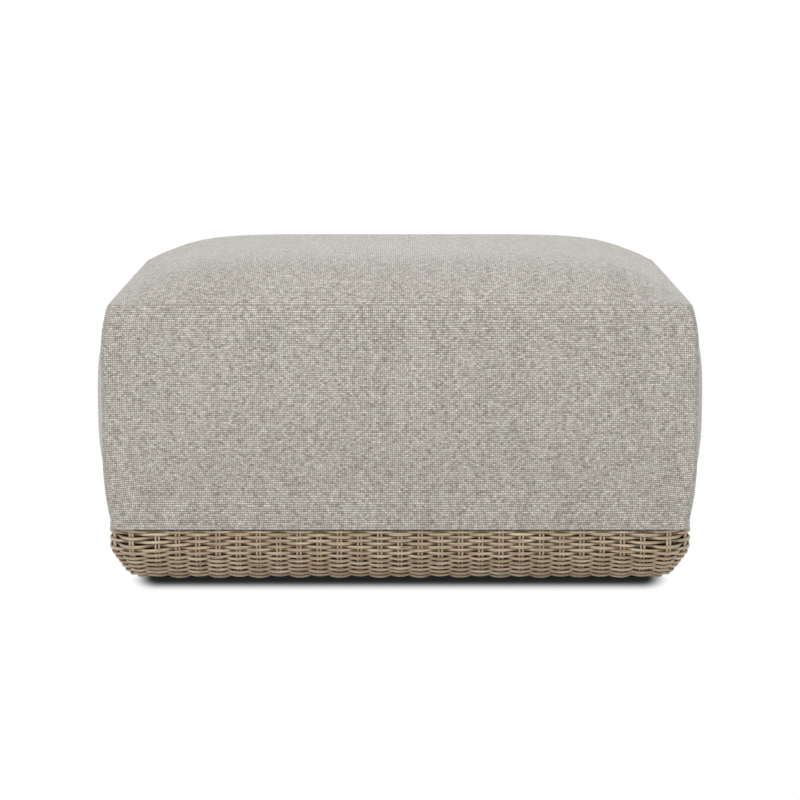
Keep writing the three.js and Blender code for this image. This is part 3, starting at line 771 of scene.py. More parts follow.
def wicker_material(name, groove, dark, light):
    """Dyed resin with fine grooves along its length, slow changes from dark to light along it, a faint
    olive or pink cast that changes from length to length, and painted shade in the recesses of the weave."""
    material, tree, shader, _ = new_material(name, 0.5, specular=0.45)
    uv = add_node(tree, "ShaderNodeUVMap", uv_map="along").outputs[0]

    def along_it(scale, detail):
        spot = add_node(tree, "ShaderNodeMapping", {"Vector": uv, "Scale": scale})
        return add_node(tree, "ShaderNodeTexNoise", {"Vector": spot.outputs[0], "Scale": 1.0, "Detail": detail})

    def spread(source, low, high):
        return add_node(tree, "ShaderNodeMapRange", {0: source, 1: low, 2: high, 3: 0.0, 4: 1.0}).outputs[0]

    grooves = along_it((45.0, 11.0, 1.0), 3.0)
    lengths = along_it((14.0, 0.8, 1.0), 2.0)
    casts = along_it((9.0, 0.5, 4.0), 1.0)
    base = blended(tree, spread(lengths.outputs[0], 0.32, 0.68), dark, light)
    streaked = blended(tree, spread(grooves.outputs[0], 0.3, 0.56), groove, base)
    cast = blended(tree, spread(casts.outputs[0], 0.35, 0.65), (0.97, 1.0, 0.93, 1), (1.04, 0.98, 0.97, 1))
    # Painted shade from the strands' attribute: darker inside the stakes and where the strands touch
    recess_shade = add_node(tree, "ShaderNodeAttribute", attribute_name="recess_shade").outputs["Fac"]
    dyed = multiplied(tree, 1.0, streaked, cast)
    shade_in_recesses = multiplied(tree, recess_shade, dyed, (0.3, 0.25, 0.2, 1))
    tree.links.new(shade_in_recesses, shader.inputs["Base Color"])
    relief = add_node(
        tree, "ShaderNodeBump", {"Height": grooves.outputs[0], "Strength": 0.6, "Distance": 0.3 * mm}
    )
    tree.links.new(relief.outputs[0], shader.inputs["Normal"])
    return material


stake_resin = wicker_material("stake_resin", colour(168, 148, 124), colour(198, 180, 156), colour(222, 208, 188))
for name in side_names + corner_names:
    points, quads, uv = rods(name)
    add_piece(mesh_of(f"stakes_{name}", points, quads, uv, weld=False), stake_resin, "base")

# Woven wicker
# Round strands of dyed resin, woven by hand: each passes outside one stake and inside the next, and the
# rows take turns. They lie close on the wall and lean out of line a little, as hand work does. One more,
# thinner strand is squeezed in above them as the rim.
row_count = 18
row_pitch = 4.5 * mm
row_level_share = 0.4
rim_rise = 0.8 * mm
rim_swing = 0.4 * mm
rim_stray_share = 0.3
rim_height_share = 0.62
samples_per_stake = 8
strand_sides = 8
sag_depth = 6.5 * mm
sag_reach = 85 * mm
rng = np.random.default_rng(41)

# Each strand starts and ends near the middle of the back, a few stakes from the next one's start
back_middle = front_stake_count + side_stake_count + 2 * stakes_per_corner + front_stake_count // 2
start_step, start_span = 5, 9

stake_numbers = np.arange(len(places) + 1)
stake_line = np.append(places, places[0] + perimeter)


def wander(size, reach=1):
    """A smooth closed random line with one knot every few stakes, evaluated for a running stake number."""
    knots = rng.normal(0, size, max(4, len(places) // reach))

    def at(number):
        spot = (number / len(places) * len(knots)) % len(knots)
        low = np.floor(spot).astype(int)
        share = spot - low
        ease = share * share * (3 - 2 * share)
        return knots[low % len(knots)] * (1 - ease) + knots[(low + 1) % len(knots)] * ease

    return at


def corner_sag(row, place):
    """How far a row hangs below its level near a corner: a bell curve of the distance from the corner's
    middle, slight at the rim, most from the fifth row on, and none again at the foot."""
    start = min(1, max(0, row / 4))
    depth = sag_depth * (0.12 + 0.88 * start * start * (3 - 2 * start)) * (1 - (row / (row_count - 1)) ** 2)
    middles = side_starts + np.array(side_lengths) + quarter_length / 2
    away = np.abs((place[:, None] - middles[None, :] + perimeter / 2) % perimeter - perimeter / 2)
    return depth * np.exp(-((away.min(axis=1) / sag_reach) ** 2))


def strand(name, row):
    """One woven row as a tube round the plinth, or the rim's strand as row -1, which rises outside a stake.
    Its centre leaves the wall by a flattened cosine of the running stake number, positive outside a stake
    and negative inside it, and moves along the wall to keep the row nearer level where the wall leans. Its
    rings are ellipses square to the path, taller than they are deep and tallest at the stakes."""
    count = len(places)
    number = np.arange(count * samples_per_stake) / samples_per_stake + back_middle + start_step * row % start_span
    place = np.interp(number % count, stake_numbers, stake_line) + perimeter * (number // count)
    phase = np.cos(math.pi * (number + row))
    swing = np.sign(phase) * np.abs(phase) ** 0.7
    rim = row < 0
    level = -rim_rise - rim_swing * phase if rim else (row + 0.5) * row_pitch
    stray = wander(0.3 * mm)(number) + wander(0.4 * mm, 4)(number)
    length = level + stray * (rim_stray_share if rim else 1) + corner_sag(row, place) * (not rim)
    lean = np.sin(wall_at(length)[2])
    length = length - row_level_share * weave_depth * swing * lean
    inset, height, tilt = wall_at(length)
    push = weave_depth * swing + wander(0.15 * mm)(number)
    plan, out = on_wall(place, stake_radius - inset + push * np.cos(tilt))
    centre = np.column_stack([plan, height - push * np.sin(tilt)])
    along = np.roll(centre, -1, axis=0) - np.roll(centre, 1, axis=0)
    along /= np.linalg.norm(along, axis=1)[:, None]
    outward = np.column_stack([out * np.cos(tilt)[:, None], -np.sin(tilt)])
    across = np.cross(along, outward)
    across /= np.linalg.norm(across, axis=1)[:, None]
    outward = np.cross(across, along)
    angle = np.arange(strand_sides) / strand_sides * 2 * math.pi
    thickness = (1 + wander(0.035)(number))[:, None, None]
    deep = outward[:, None, :] * (strand_depth * np.cos(angle))[None, :, None]
    half_height = (strand_height + strand_spread * phase**2) * (rim_height_share if rim else 1)
    tall = across[:, None, :] * (half_height[:, None] * np.sin(angle))[..., None]
    points = centre[:, None, :] + thickness * (deep + tall)
    quads = grid_quads(1, len(centre), strand_sides, wrap_rows=True)
    lengthwise = np.append(place, place[0] + perimeter)[None, :] + row * 7.3
    uv = grid_uv(lengthwise, np.arange(strand_sides + 1) / strand_sides)
    mesh = mesh_of(name, points.reshape(-1, 3), quads, uv, weld=False)
    # Painted shade, kept as an attribute: darker where the strand passes inside a stake, and along its top and
    # bottom where it meets the next rows
    recess_shade = 0.7 * np.clip(-swing, 0, 1)[:, None] + 0.5 * np.sin(angle)[None, :] ** 4
    shade = mesh.attributes.new("recess_shade", "FLOAT", "POINT")
    shade.data.foreach_set("value", np.clip(recess_shade, 0, 1).astype(np.float32).ravel())
    return mesh


wicker = wicker_material("wicker", colour(128, 104, 80), colour(184, 161, 135), colour(222, 208, 186))
add_piece(strand("strand_rim", -1), wicker, "base")
for row in range(row_count):
    add_piece(strand(f"strand_{row + 1:02d}", row), wicker, "base", [f"woven_row_{row + 1:02d}"])

# Cushion
# A foam core in a sewn cover of heathered outdoor cloth: a crowned top panel, an upright boxing band in
# four lengths with a seam at each corner, and a flat bottom panel. The foam swells the sides.
top_low, top_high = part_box("cover_top_panel")
under_low, under_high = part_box("cover_bottom_panel")
seam_x = top_high.x
seam_y = top_high.y
seam_top = top_low.z
cushion_bottom = under_low.z
crown_height = top_high.z - seam_top
boxing_height = seam_top - cushion_bottom
corner_bow = 12 * mm
panel_bulge = 10 * mm
corner_round = 18 * mm
swell_inset = 3 * mm
chain_low, chain_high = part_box("zip_chain")
zip_middle = (chain_low.z + chain_high.z) / 2
zip_half_length = (chain_high.x - chain_low.x) / 2
zip_face = chain_high.y


def spaced(length, wide, focus):
    """Places from -1 to 1 along a side. The steps grow from fine at each place of interest, given in metres
    from the low end with its finest step and its reach, to wide away from them all."""
    spot = np.linspace(0, length, 4001)
    step = np.full_like(spot, wide)
    for centre, finest, reach in focus:
        near = np.exp(-(((spot - centre) / reach) ** 2))
        step = np.minimum(step, wide - (wide - finest) * near)
    count = np.concatenate([[0], np.cumsum((1 / step[1:] + 1 / step[:-1]) / 2 * np.diff(spot))])
    steps = int(round(count[-1]))
    return np.interp(np.linspace(0, count[-1], steps + 1), count, spot) / length * 2 - 1


def cushion_shape(a, b, c):
    """The cushion's surface for shares a, b and c of a box, one of which is -1 or 1. Level outlines are
    rectangles with round corners; the sides swell by a power curve over the height, fuller above the middle
    than below it, and along the panel. The top rises by a crown that is steep at the seams and flat in the
    middle."""
    height_share = (c + 1) / 2
    swell_up = 1 - np.abs(c) ** np.where(c > 0, 6.0, 3.2)
    half_x = seam_x + corner_bow * swell_up
    half_y = seam_y + corner_bow * swell_up
    ring = np.maximum(np.maximum(np.abs(a), np.abs(b)), 1e-9)
    edge_x = a * half_x / ring
    edge_y = b * half_y / ring
    inner_x = np.clip(edge_x, -(half_x - corner_round), half_x - corner_round)
    inner_y = np.clip(edge_y, -(half_y - corner_round), half_y - corner_round)
    away = np.maximum(np.hypot(edge_x - inner_x, edge_y - inner_y), 1e-9)
    round_x = inner_x + corner_round * (edge_x - inner_x) / away
    round_y = inner_y + corner_round * (edge_y - inner_y) / away
    fade = ring**12
    x = a * half_x + (round_x - edge_x) * fade
    y = b * half_y + (round_y - edge_y) * fade

    def along(share):
        return np.minimum(1, (1 - np.minimum(1, np.abs(share)) ** 6) / (1 - (2 / 3) ** 6))

    on_side = np.abs(c) < 1
    front_back = on_side & (np.abs(b) == 1)
    left_right = on_side & (np.abs(a) == 1)
    bulge = panel_bulge * swell_up
    y = y + np.where(front_back, np.sign(b) * bulge * along(x / (half_x - corner_round)), 0)
    x = x + np.where(left_right, np.sign(a) * bulge * along(y / (half_y - corner_round)), 0)
    z = cushion_bottom + boxing_height * height_share
    crown = (1 - np.minimum(1, np.abs(x / seam_x)) ** 6.5) * (1 - np.minimum(1, np.abs(y / seam_y)) ** 4.5)
    z = z + np.where(c == 1, crown_height * crown, 0)
    return np.stack([x, y, z], axis=-1)


def cover_grid():
    """The cover's points as whole steps along the box's three ways, its quads, each quad's panel, and the
    shares of the box that the steps stand for."""
    seam_step, wide_step = 2.2 * mm, 8 * mm
    ends_x = [(0, seam_step, 16 * mm), (2 * seam_x, seam_step, 16 * mm)]
    ends_y = [(0, seam_step, 16 * mm), (2 * seam_y, seam_step, 16 * mm)]
    zip_spot = (zip_middle - cushion_bottom, 1.2 * mm, 9 * mm)
    ends_z = [(0, seam_step, 14 * mm), zip_spot, (boxing_height, seam_step, 16 * mm)]
    shares = [
        spaced(2 * seam_x, wide_step, ends_x),
        spaced(2 * seam_y, wide_step, ends_y),
        spaced(boxing_height, wide_step, ends_z),
    ]
    counts = [len(share) - 1 for share in shares]
    corners, panels = [], []
    for axis in range(3):
        first, second = [other for other in range(3) if other != axis]
        for end in (0, counts[axis]):
            i, j = np.meshgrid(np.arange(counts[first]), np.arange(counts[second]), indexing="ij")
            quad = np.zeros((i.size, 4, 3), int)
            quad[:, :, axis] = end
            for corner, (di, dj) in enumerate(((0, 0), (1, 0), (1, 1), (0, 1))):
                quad[:, corner, first] = (i + di).ravel()
                quad[:, corner, second] = (j + dj).ravel()
            corners.append(quad)
            panels.append(np.full(i.size, axis * 2 + (end > 0)))
    corners = np.concatenate(corners)
    steps, index = np.unique(corners.reshape(-1, 3), axis=0, return_inverse=True)
    a, b, c = (shares[axis][steps[:, axis]] for axis in range(3))
    return index.reshape(-1, 4), np.concatenate(panels), a, b, c


quads, panels, share_a, share_b, share_c = cover_grid()
target = cushion_shape(share_a, share_b, share_c)


def cover_uv():
    """Corner pairs in metres on the flat cloth of each panel, so that the weave runs upright on the boxing
    and front to back on the top. Each panel is moved along by its number, as cut from other cloth."""
    flat = np.stack([share_a * seam_x, share_b * seam_y, share_c * boxing_height / 2], axis=-1)[quads]
    ways = np.array([[1, 2], [1, 2], [0, 2], [0, 2], [0, 1], [0, 1]])[panels]
    pairs = np.take_along_axis(flat, ways[:, None, :].repeat(4, axis=1), axis=2)
    return pairs + (panels * 1.37)[:, None, None]


def vertex_normals(mesh):
    """The mesh's vertex normals as an array."""
    normals = np.zeros(len(mesh.vertices) * 3, np.float32)
    mesh.vertex_normals.foreach_get("vector", normals)
    return normals.reshape(-1, 3).astype(float)


def vertex_places(mesh):
    """The mesh's vertices as an array."""
    points = np.zeros(len(mesh.vertices) * 3, np.float32)
    mesh.vertices.foreach_get("co", points)
    return points.reshape(-1, 3).astype(float)


def evened(mesh, moves):
    """Movements of a mesh's vertices with small dimples taken out: in each round a movement becomes the mean
    of itself and of its neighbours' mean."""
    rounds = 40
    edges = np.zeros(len(mesh.edges) * 2, np.int32)
    mesh.edges.foreach_get("vertices", edges)
    edges = edges.reshape(-1, 2)
    here = np.concatenate([edges[:, 0], edges[:, 1]])
    there = np.concatenate([edges[:, 1], edges[:, 0]])
    neighbours = np.bincount(here, minlength=len(moves))[:, None]
    for _ in range(rounds):
        ways = [np.bincount(here, weights=moves[there, way], minlength=len(moves)) for way in range(3)]
        moves = (moves + np.stack(ways, axis=-1) / neighbours) / 2
    return moves


def fill_cover(mesh):
    """Blows the cover up like a filled cushion with Blender's cloth, from a shape a little too small, and
    keeps each point within a cap of where it began."""
    cap = 7 * mm
    trial = bpy.data.objects.new("cover_trial", mesh.copy())
    scene.collection.objects.link(trial)
    cloth = trial.modifiers.new("fill", "CLOTH")
    cloth.settings.use_pressure = True
    cloth.settings.uniform_pressure_force = 4
    cloth.settings.effector_weights.gravity = 0
    cloth.settings.quality = 5
    cloth.settings.tension_stiffness = 25
    cloth.settings.compression_stiffness = 12
    cloth.settings.shear_stiffness = 8
    cloth.settings.bending_stiffness = 0.6
    cloth.collision_settings.use_collision = False
    scene.frame_start, scene.frame_end = 1, 20
    for number in range(1, 21):
        scene.frame_set(number)
    graph = bpy.context.evaluated_depsgraph_get()
    filled = vertex_places(trial.evaluated_get(graph).data)
    start = vertex_places(mesh)
    scene.frame_set(1)
    bpy.data.objects.remove(trial)
    moved = filled - start
    far = np.linalg.norm(moved, axis=1)[:, None]
    return start + evened(mesh, moved * np.minimum(1, cap / np.maximum(far, 1e-9)))


# Distances from the seams, in metres along each panel
from_sides = seam_x * (1 - np.abs(share_a))
from_ends = seam_y * (1 - np.abs(share_b))
from_top = boxing_height * (1 - share_c) / 2
from_bottom = boxing_height * (1 + share_c) / 2
on_top = share_c == 1
on_bottom = share_c == -1
to_rim = np.minimum(from_sides, from_ends)
to_top_seam = np.where(on_top, to_rim, from_top)
to_bottom_seam = np.where(on_bottom, to_rim, from_bottom)
to_corner_seam = np.where(on_top | on_bottom, 1.0, np.maximum(from_sides, from_ends))


def set_places(mesh, points):
    """Moves the mesh's vertices to an array of points."""
    mesh.vertices.foreach_set("co", points.astype(np.float32).ravel())
    mesh.update()


cover_mesh = mesh_of("cushion_cover", target, quads, cover_uv(), weld=False)
target_normals = vertex_normals(cover_mesh)
cover_points = target.copy()
# The filled cloth shapes the panels; close to the seams, which hold the cloth, the cover keeps its line
set_places(cover_mesh, target - target_normals * swell_inset)
to_seam = np.minimum(np.minimum(to_top_seam, to_bottom_seam), to_corner_seam)
free = np.clip(to_seam / (70 * mm), 0, 1)
free = free * free * (3 - 2 * free) * ~on_bottom * np.where(on_top, 0.35, 1)
cover_points += (fill_cover(cover_mesh) - target) * free[:, None]


def seam_groove(distance, depth, width):
    """How far the cloth dips towards a seam: a bell curve of the distance."""
    return depth * np.exp(-((distance / width) ** 2))


def pull_wrinkle(route_shares, height, width):
    """A soft ridge on both sides of the top panel, along a parabola through three places given as shares of
    the panel's half width and half depth: a bell curve of the distance from the parabola's nearest point,
    which rises from nothing at its start and sinks to nothing at its end."""
    start, middle, end = np.array(route_shares) * (seam_x, seam_y)
    share = np.linspace(0, 1, 40)[:, None]
    line = (1 - share) ** 2 * start + 2 * share * (1 - share) * middle + share**2 * end
    level = np.column_stack([np.abs(target[:, 0]), target[:, 1]])
    gap = np.linalg.norm(level[:, None] - line[None], axis=-1)
    fade = np.clip(np.sin(math.pi * np.sqrt(share[gap.argmin(axis=1), 0])), 0, 1) ** 0.7
    return height * fade * np.exp(-((gap.min(axis=1) / width) ** 2)) * on_top


dip = seam_groove(to_top_seam, 0.5 * mm, 2.6 * mm)
dip += seam_groove(to_corner_seam, 0.8 * mm, 2.6 * mm)
side_wrinkle_shares = [(0.98, 0.14), (0.90, -0.19), (0.73, -0.46)]
back_wrinkle_shares = [(0.98, 0.81), (0.92, 0.57), (0.84, 0.36)]
front_wrinkle_shares = [(0.97, -0.73), (0.89, -0.88), (0.75, -0.93)]
dip -= pull_wrinkle(side_wrinkle_shares, 2.4 * mm, 7 * mm)
dip -= pull_wrinkle(back_wrinkle_shares, 1.4 * mm, 7 * mm)
dip -= pull_wrinkle(front_wrinkle_shares, 0.8 * mm, 10 * mm)

# Zip band: cloth drawn flat over the zip, with a slot between its two folded edges
slot_depth = 5 * mm
on_back = (share_b == 1) & ~on_top & ~on_bottom
from_zip = np.abs(target[:, 2] - zip_middle)
band = np.exp(-((from_zip / (15 * mm)) ** 4)) * on_back * (1 - np.abs(share_a) ** 12)
cover_points[:, 1] += (zip_face - cover_points[:, 1]) * band
cover_points[:, 2] += (target[:, 2] - cover_points[:, 2]) * band
slot_ends = np.clip((zip_half_length - np.abs(target[:, 0])) / (4 * mm), 0, 1)
slot = np.exp(-((from_zip / (3.4 * mm)) ** 4)) * on_back * slot_ends
cover_points[:, 1] -= slot_depth * slot

# The bottom seam stands out a little and settles past the rail's edge, clear of the rim's strand
lip_reach, lip_fall, lip_width = 3 * mm, 0.6 * mm, 5 * mm
lip = seam_groove(to_bottom_seam, 1.0, lip_width)

set_places(cover_mesh, cover_points)
cover_points -= vertex_normals(cover_mesh) * (dip * ~on_bottom)[:, None]
cover_points[:, 2] = np.maximum(cover_points[:, 2], cushion_bottom) - lip_fall * lip
outward = np.column_stack([np.abs(share_a) == 1, np.abs(share_b) == 1]) * np.sign(cover_points[:, :2])
cover_points[:, :2] += outward * (lip_reach * lip)[:, None]
set_places(cover_mesh, cover_points)


# Painted shade along the seams: darker lines in their creases, strongest down the corners of the boxing
seam_shade = cover_mesh.attributes.new("seam", "FLOAT", "POINT")
seam_line = seam_groove(to_corner_seam, 0.5, 2.2 * mm) + seam_groove(to_top_seam, 0.15, 2.2 * mm)
seam_shade.data.foreach_set("value", np.clip(seam_line, 0, 1).astype(np.float32))


def weave_group():
    """Plain-woven cloth whose crosswise yarns stand higher than the upright ones, each passing over the
    other by turns. It gives the relief, a shade for each yarn that changes along it, and a faint cast."""
    group = bpy.data.node_groups.new("plain_weave", "ShaderNodeTree")
    for name, kind in (("Place", "Vector"), ("Across", "Float"), ("Up", "Float")):
        group.interface.new_socket(name, in_out="INPUT", socket_type=f"NodeSocket{kind}")
    for name, kind in (("Relief", "Float"), ("Shade", "Float"), ("Tint", "Color")):
        group.interface.new_socket(name, in_out="OUTPUT", socket_type=f"NodeSocket{kind}")
    source = add_node(group, "NodeGroupInput")

    def math_node(operation, first, second=0.0):
        return add_node(group, "ShaderNodeMath", {0: first, 1: second}, operation=operation).outputs[0]

    def vector(x, y, z):
        return add_node(group, "ShaderNodeCombineXYZ", {0: x, 1: y, 2: z}).outputs[0]

    def noise(place, scale, detail):
        return add_node(group, "ShaderNodeTexNoise", {"Vector": place, "Scale": scale, "Detail": detail})

    def raised(arch, other, share):
        return math_node("MULTIPLY", arch, math_node("ADD", math_node("MULTIPLY", other, share), 1 - share))

    flat = source.outputs["Place"]
    density = vector(source.outputs["Across"], source.outputs["Up"], 0.0)
    yarns = add_node(group, "ShaderNodeVectorMath", {0: flat, 1: density}, operation="MULTIPLY")
    place = add_node(
        group,
        "ShaderNodeVectorMath",
        {0: noise(flat, 25.0, 2.0).outputs["Color"], 1: (0.6, 0.6, 0.0), 2: yarns.outputs[0]},
        operation="MULTIPLY_ADD",
    )
    split = add_node(group, "ShaderNodeSeparateXYZ", {0: place.outputs[0]})
    across, up = split.outputs[0], split.outputs[1]
    column = math_node("FLOOR", across)
    line = math_node("FLOOR", up)
    arch_across = math_node("SINE", math_node("MULTIPLY", math_node("FRACT", across), math.pi))
    arch_up = math_node("SINE", math_node("MULTIPLY", math_node("FRACT", up), math.pi))
    turn = math_node("MODULO", math_node("ABSOLUTE", math_node("ADD", column, line)), 2.0)
    upright_over = raised(arch_across, arch_up, 0.65)
    cross_over = raised(arch_up, arch_across, 0.25)
    relief = add_node(group, "ShaderNodeMix", {0: turn, 2: upright_over, 3: cross_over})
    upright_place = vector(math_node("MULTIPLY", column, 7.31), math_node("MULTIPLY", up, 0.6), 0.0)
    cross_place = vector(math_node("MULTIPLY", across, 0.45), math_node("MULTIPLY", line, 5.77), 31.0)
    cross_share = math_node("ADD", math_node("MULTIPLY", turn, 0.5), 0.5)
    upright_shade = noise(upright_place, 1.0, 2.0).outputs[0]
    cross_shade = noise(cross_place, 1.0, 2.0).outputs[0]
    shade = add_node(group, "ShaderNodeMix", {0: cross_share, 2: upright_shade, 3: cross_shade})
    tint_place = add_node(
        group, "ShaderNodeVectorMath", {0: cross_place, 1: (3.7, 11.9, 5.3)}, operation="ADD"
    )
    tint = noise(tint_place.outputs[0], 0.8, 1.0)
    result = add_node(group, "NodeGroupOutput")
    group.links.new(relief.outputs[0], result.inputs["Relief"])
    group.links.new(shade.outputs[0], result.inputs["Shade"])
    group.links.new(tint.outputs["Color"], result.inputs["Tint"])
    return group


plain_weave = weave_group()


def cloth_material(name, across, up, dark, light, relief_height, seams=False):
    """Heathered cloth: the shade of each yarn runs from dark to light with a faint cast of colour, with painted
    shade in the hollows between the yarns, broad faint streaks up the cloth and, if asked, painted seam shade."""
    material, tree, shader, _ = new_material(name, 0.92, specular=0.2)
    shader.inputs["Sheen Weight"].default_value = 0.5
    shader.inputs["Sheen Roughness"].default_value = 0.4
    uv = add_node(tree, "ShaderNodeUVMap", uv_map="along").outputs[0]
    weave = add_node(tree, "ShaderNodeGroup", {"Place": uv, "Across": across, "Up": up}, node_tree=plain_weave)
    streaks_at = add_node(tree, "ShaderNodeMapping", {"Vector": uv, "Scale": (40.0, 3.0, 1.0)})
    streaks = add_node(
        tree, "ShaderNodeTexNoise", {"Vector": streaks_at.outputs[0], "Scale": 1.0, "Detail": 3.0}
    )
    tone = add_node(
        tree,
        "ShaderNodeMath",
        {0: streaks.outputs[0], 1: 0.12, 2: weave.outputs["Shade"]},
        operation="MULTIPLY_ADD",
    )

    def spread(source, low, high, least):
        return add_node(tree, "ShaderNodeMapRange", {0: source, 1: low, 2: high, 3: least, 4: 1.0}).outputs[0]

    def layered(factor, under, over, way):
        mix = add_node(
            tree, "ShaderNodeMix", {0: factor, 6: under, 7: over}, data_type="RGBA", blend_type=way
        )
        return mix.outputs[2]

    yarn = blended(tree, spread(tone.outputs[0], 0.36, 0.76, 0.0), dark, light)
    dyed = layered(0.09, yarn, weave.outputs["Tint"], "OVERLAY")
    # Painted shade: the colour darkens in the hollows between the yarns, after the weave's relief
    shaded = layered(1.0, dyed, spread(weave.outputs["Relief"], 0.05, 0.75, 0.25), "MULTIPLY")
    if seams:
        # Painted shade along the seam creases: the seam attribute takes the colour darker
        line = add_node(tree, "ShaderNodeAttribute", attribute_name="seam").outputs["Fac"]
        depth = add_node(tree, "ShaderNodeMath", {0: line, 1: 0.45}, operation="MULTIPLY").outputs[0]
        shaded = blended(tree, depth, shaded, dark)
        shaded = layered(depth, shaded, (0.5, 0.5, 0.5, 1), "MULTIPLY")
    tree.links.new(shaded, shader.inputs["Base Color"])
    relief = add_node(
        tree,
        "ShaderNodeBump",
        {"Height": weave.outputs["Relief"], "Strength": 0.5, "Distance": relief_height},
    )
    tree.links.new(relief.outputs[0], shader.inputs["Normal"])
    return material


cushion_cloth = cloth_material(
    "cushion_cloth",
    across=360.0,
    up=325.0,
    dark=colour(156, 149, 138),
    light=colour(236, 232, 223),
    relief_height=0.35 * mm,
    seams=True,
)
cushion = add_piece(
    cover_mesh,
    cushion_cloth,
    "cushion",
    ["cover_top_panel", "cover_boxing", "cover_bottom_panel", "foam_core"],
)
soften = cushion.modifiers.new("soften", "SUBSURF")
soften.levels = soften.render_levels = 1

# Zip
# A coil zip in the back of the boxing. Two woven tapes are sewn in behind the folded cloth, each with a nylon
# coil along its edge, and a die-cast slider runs over them with a stamped pull on its pin.
tape_thickness = 1 * mm
tape_gap = 0.6 * mm
coil_pitch = 1.7 * mm
coil_apart = 0.65 * mm
coil_height_radius = 1.5 * mm
coil_wire = 0.35 * mm
coil_steps = 10
coil_sides = 5
coil_margin = 10 * mm
stop_length = 3 * mm
stop_height = 5.4 * mm
slider_thickness = 2.2 * mm
pin_outset = 2 * mm
pin_radius = 0.7 * mm
ear_thickness = 1.2 * mm
ear_span = 7 * mm
ear_length = 3.2 * mm
knuckle_radius = 1.7 * mm
knuckle_bore = 1.0 * mm
pull_thickness = 1.2 * mm
stitch_offset = 9 * mm
stitch_length = 3.2 * mm
stitch_pitch = 4 * mm
thread_radius = 0.3 * mm

tape_back = chain_low.y
tape_face = tape_back + tape_thickness
coil_half = zip_half_length - coil_margin
zip_nylon = speckled("zip_nylon", colour(84, 78, 70), colour(110, 103, 94), 800, 0.42, 0.02 * mm)
zip_metal = speckled("zip_metal", colour(138, 133, 126), colour(174, 169, 161), 500, 0.36, 0.02 * mm, metallic=1.0)
sewing_thread = speckled("sewing_thread", colour(150, 143, 131), colour(180, 173, 161), 1500, 0.8, 0.05 * mm)
tape_cloth = cloth_material(
    "tape_cloth",
    across=1200.0,
    up=900.0,
    dark=colour(104, 98, 89),
    light=colour(146, 139, 128),
    relief_height=0.1 * mm,
)


def facing_back(surface):
    """A surface drawn in the plan, with its outline's second way turned upright and its height towards
    the back."""
    points, quads = surface
    return points[:, [0, 2, 1]], quads


def oblong(low_x, high_x, low_z, high_z, ease):
    """A closed rectangle with rounded corners, as (x, z) points."""
    corners = [(low_x, low_z), (high_x, low_z), (high_x, high_z), (low_x, high_z)]
    return eased(corners, ease, 4, closed=True)


tapes = []
for side in (-1, 1):
    near, far = sorted((zip_middle + side * tape_gap, zip_middle + side * (chain_high.z - zip_middle)))
    outline = oblong(-zip_half_length, zip_half_length, near, far, 1 * mm)
    tapes.append(facing_back(plate_surface(outline, tape_back, tape_face, 0.2 * mm, (0, 0, 0))))
points, quads = joined(tapes)
tape_mesh = mesh_of("tapes", points, quads, points[quads][..., [0, 2]], weld=False)
add_piece(tape_mesh, tape_cloth, "cushion", ["zip_chain"])


def coil(side):
    """One coil: a wire wound along a helix that is an ellipse seen from its end, upright and as deep as the
    room in front of the tape. Its rings lie square to the wire, and its ends close to a point."""
    depth_radius = (zip_face - tape_face) / 2 - coil_wire
    turns = int(2 * coil_half / coil_pitch)
    step = np.arange(turns * coil_steps + 1) / coil_steps
    angle = 2 * math.pi * step + (math.pi if side > 0 else 0)
    middle_depth = (tape_face + zip_face) / 2
    line = np.column_stack(
        [
            -coil_half + step * coil_pitch,
            middle_depth + depth_radius * np.cos(angle),
            zip_middle + side * coil_apart + coil_height_radius * np.sin(angle),
        ]
    )
    along = np.gradient(line, axis=0)
    along /= np.linalg.norm(along, axis=1)[:, None]
    first = np.cross(along, [1.0, 0.0, 0.0])
    first /= np.linalg.norm(first, axis=1)[:, None]
    second = np.cross(along, first)
    ring = np.arange(coil_sides) / coil_sides * 2 * math.pi
    wire = np.full((len(line), 1), coil_wire)
    ends = np.array([0, *range(len(line)), len(line) - 1])
    line, first, second, wire = line[ends], first[ends], second[ends], wire[ends]
    wire[[0, -1]] = 0
    across = wire[..., None] * first[:, None] * np.cos(ring)[None, :, None]
    upright = wire[..., None] * second[:, None] * np.sin(ring)[None, :, None]
    points = line[:, None] + across + upright
    return points.reshape(-1, 3), grid_quads(1, len(line), coil_sides)


add_piece(mesh_of("coils", *joined([coil(-1), coil(1)])), zip_nylon, "cushion")

stops = []
for side in (-1, 1):
    near, far = sorted((side * coil_half, side * (coil_half + stop_length)))
    outline = oblong(near, far, zip_middle - stop_height / 2, zip_middle + stop_height / 2, 0.8 * mm)
    stops.append(facing_back(plate_surface(outline, tape_face - 0.2 * mm, zip_face, 0.4 * mm, (0, 0, 0))))
add_piece(mesh_of("zip_stops", *joined(stops)), zip_metal, "cushion")

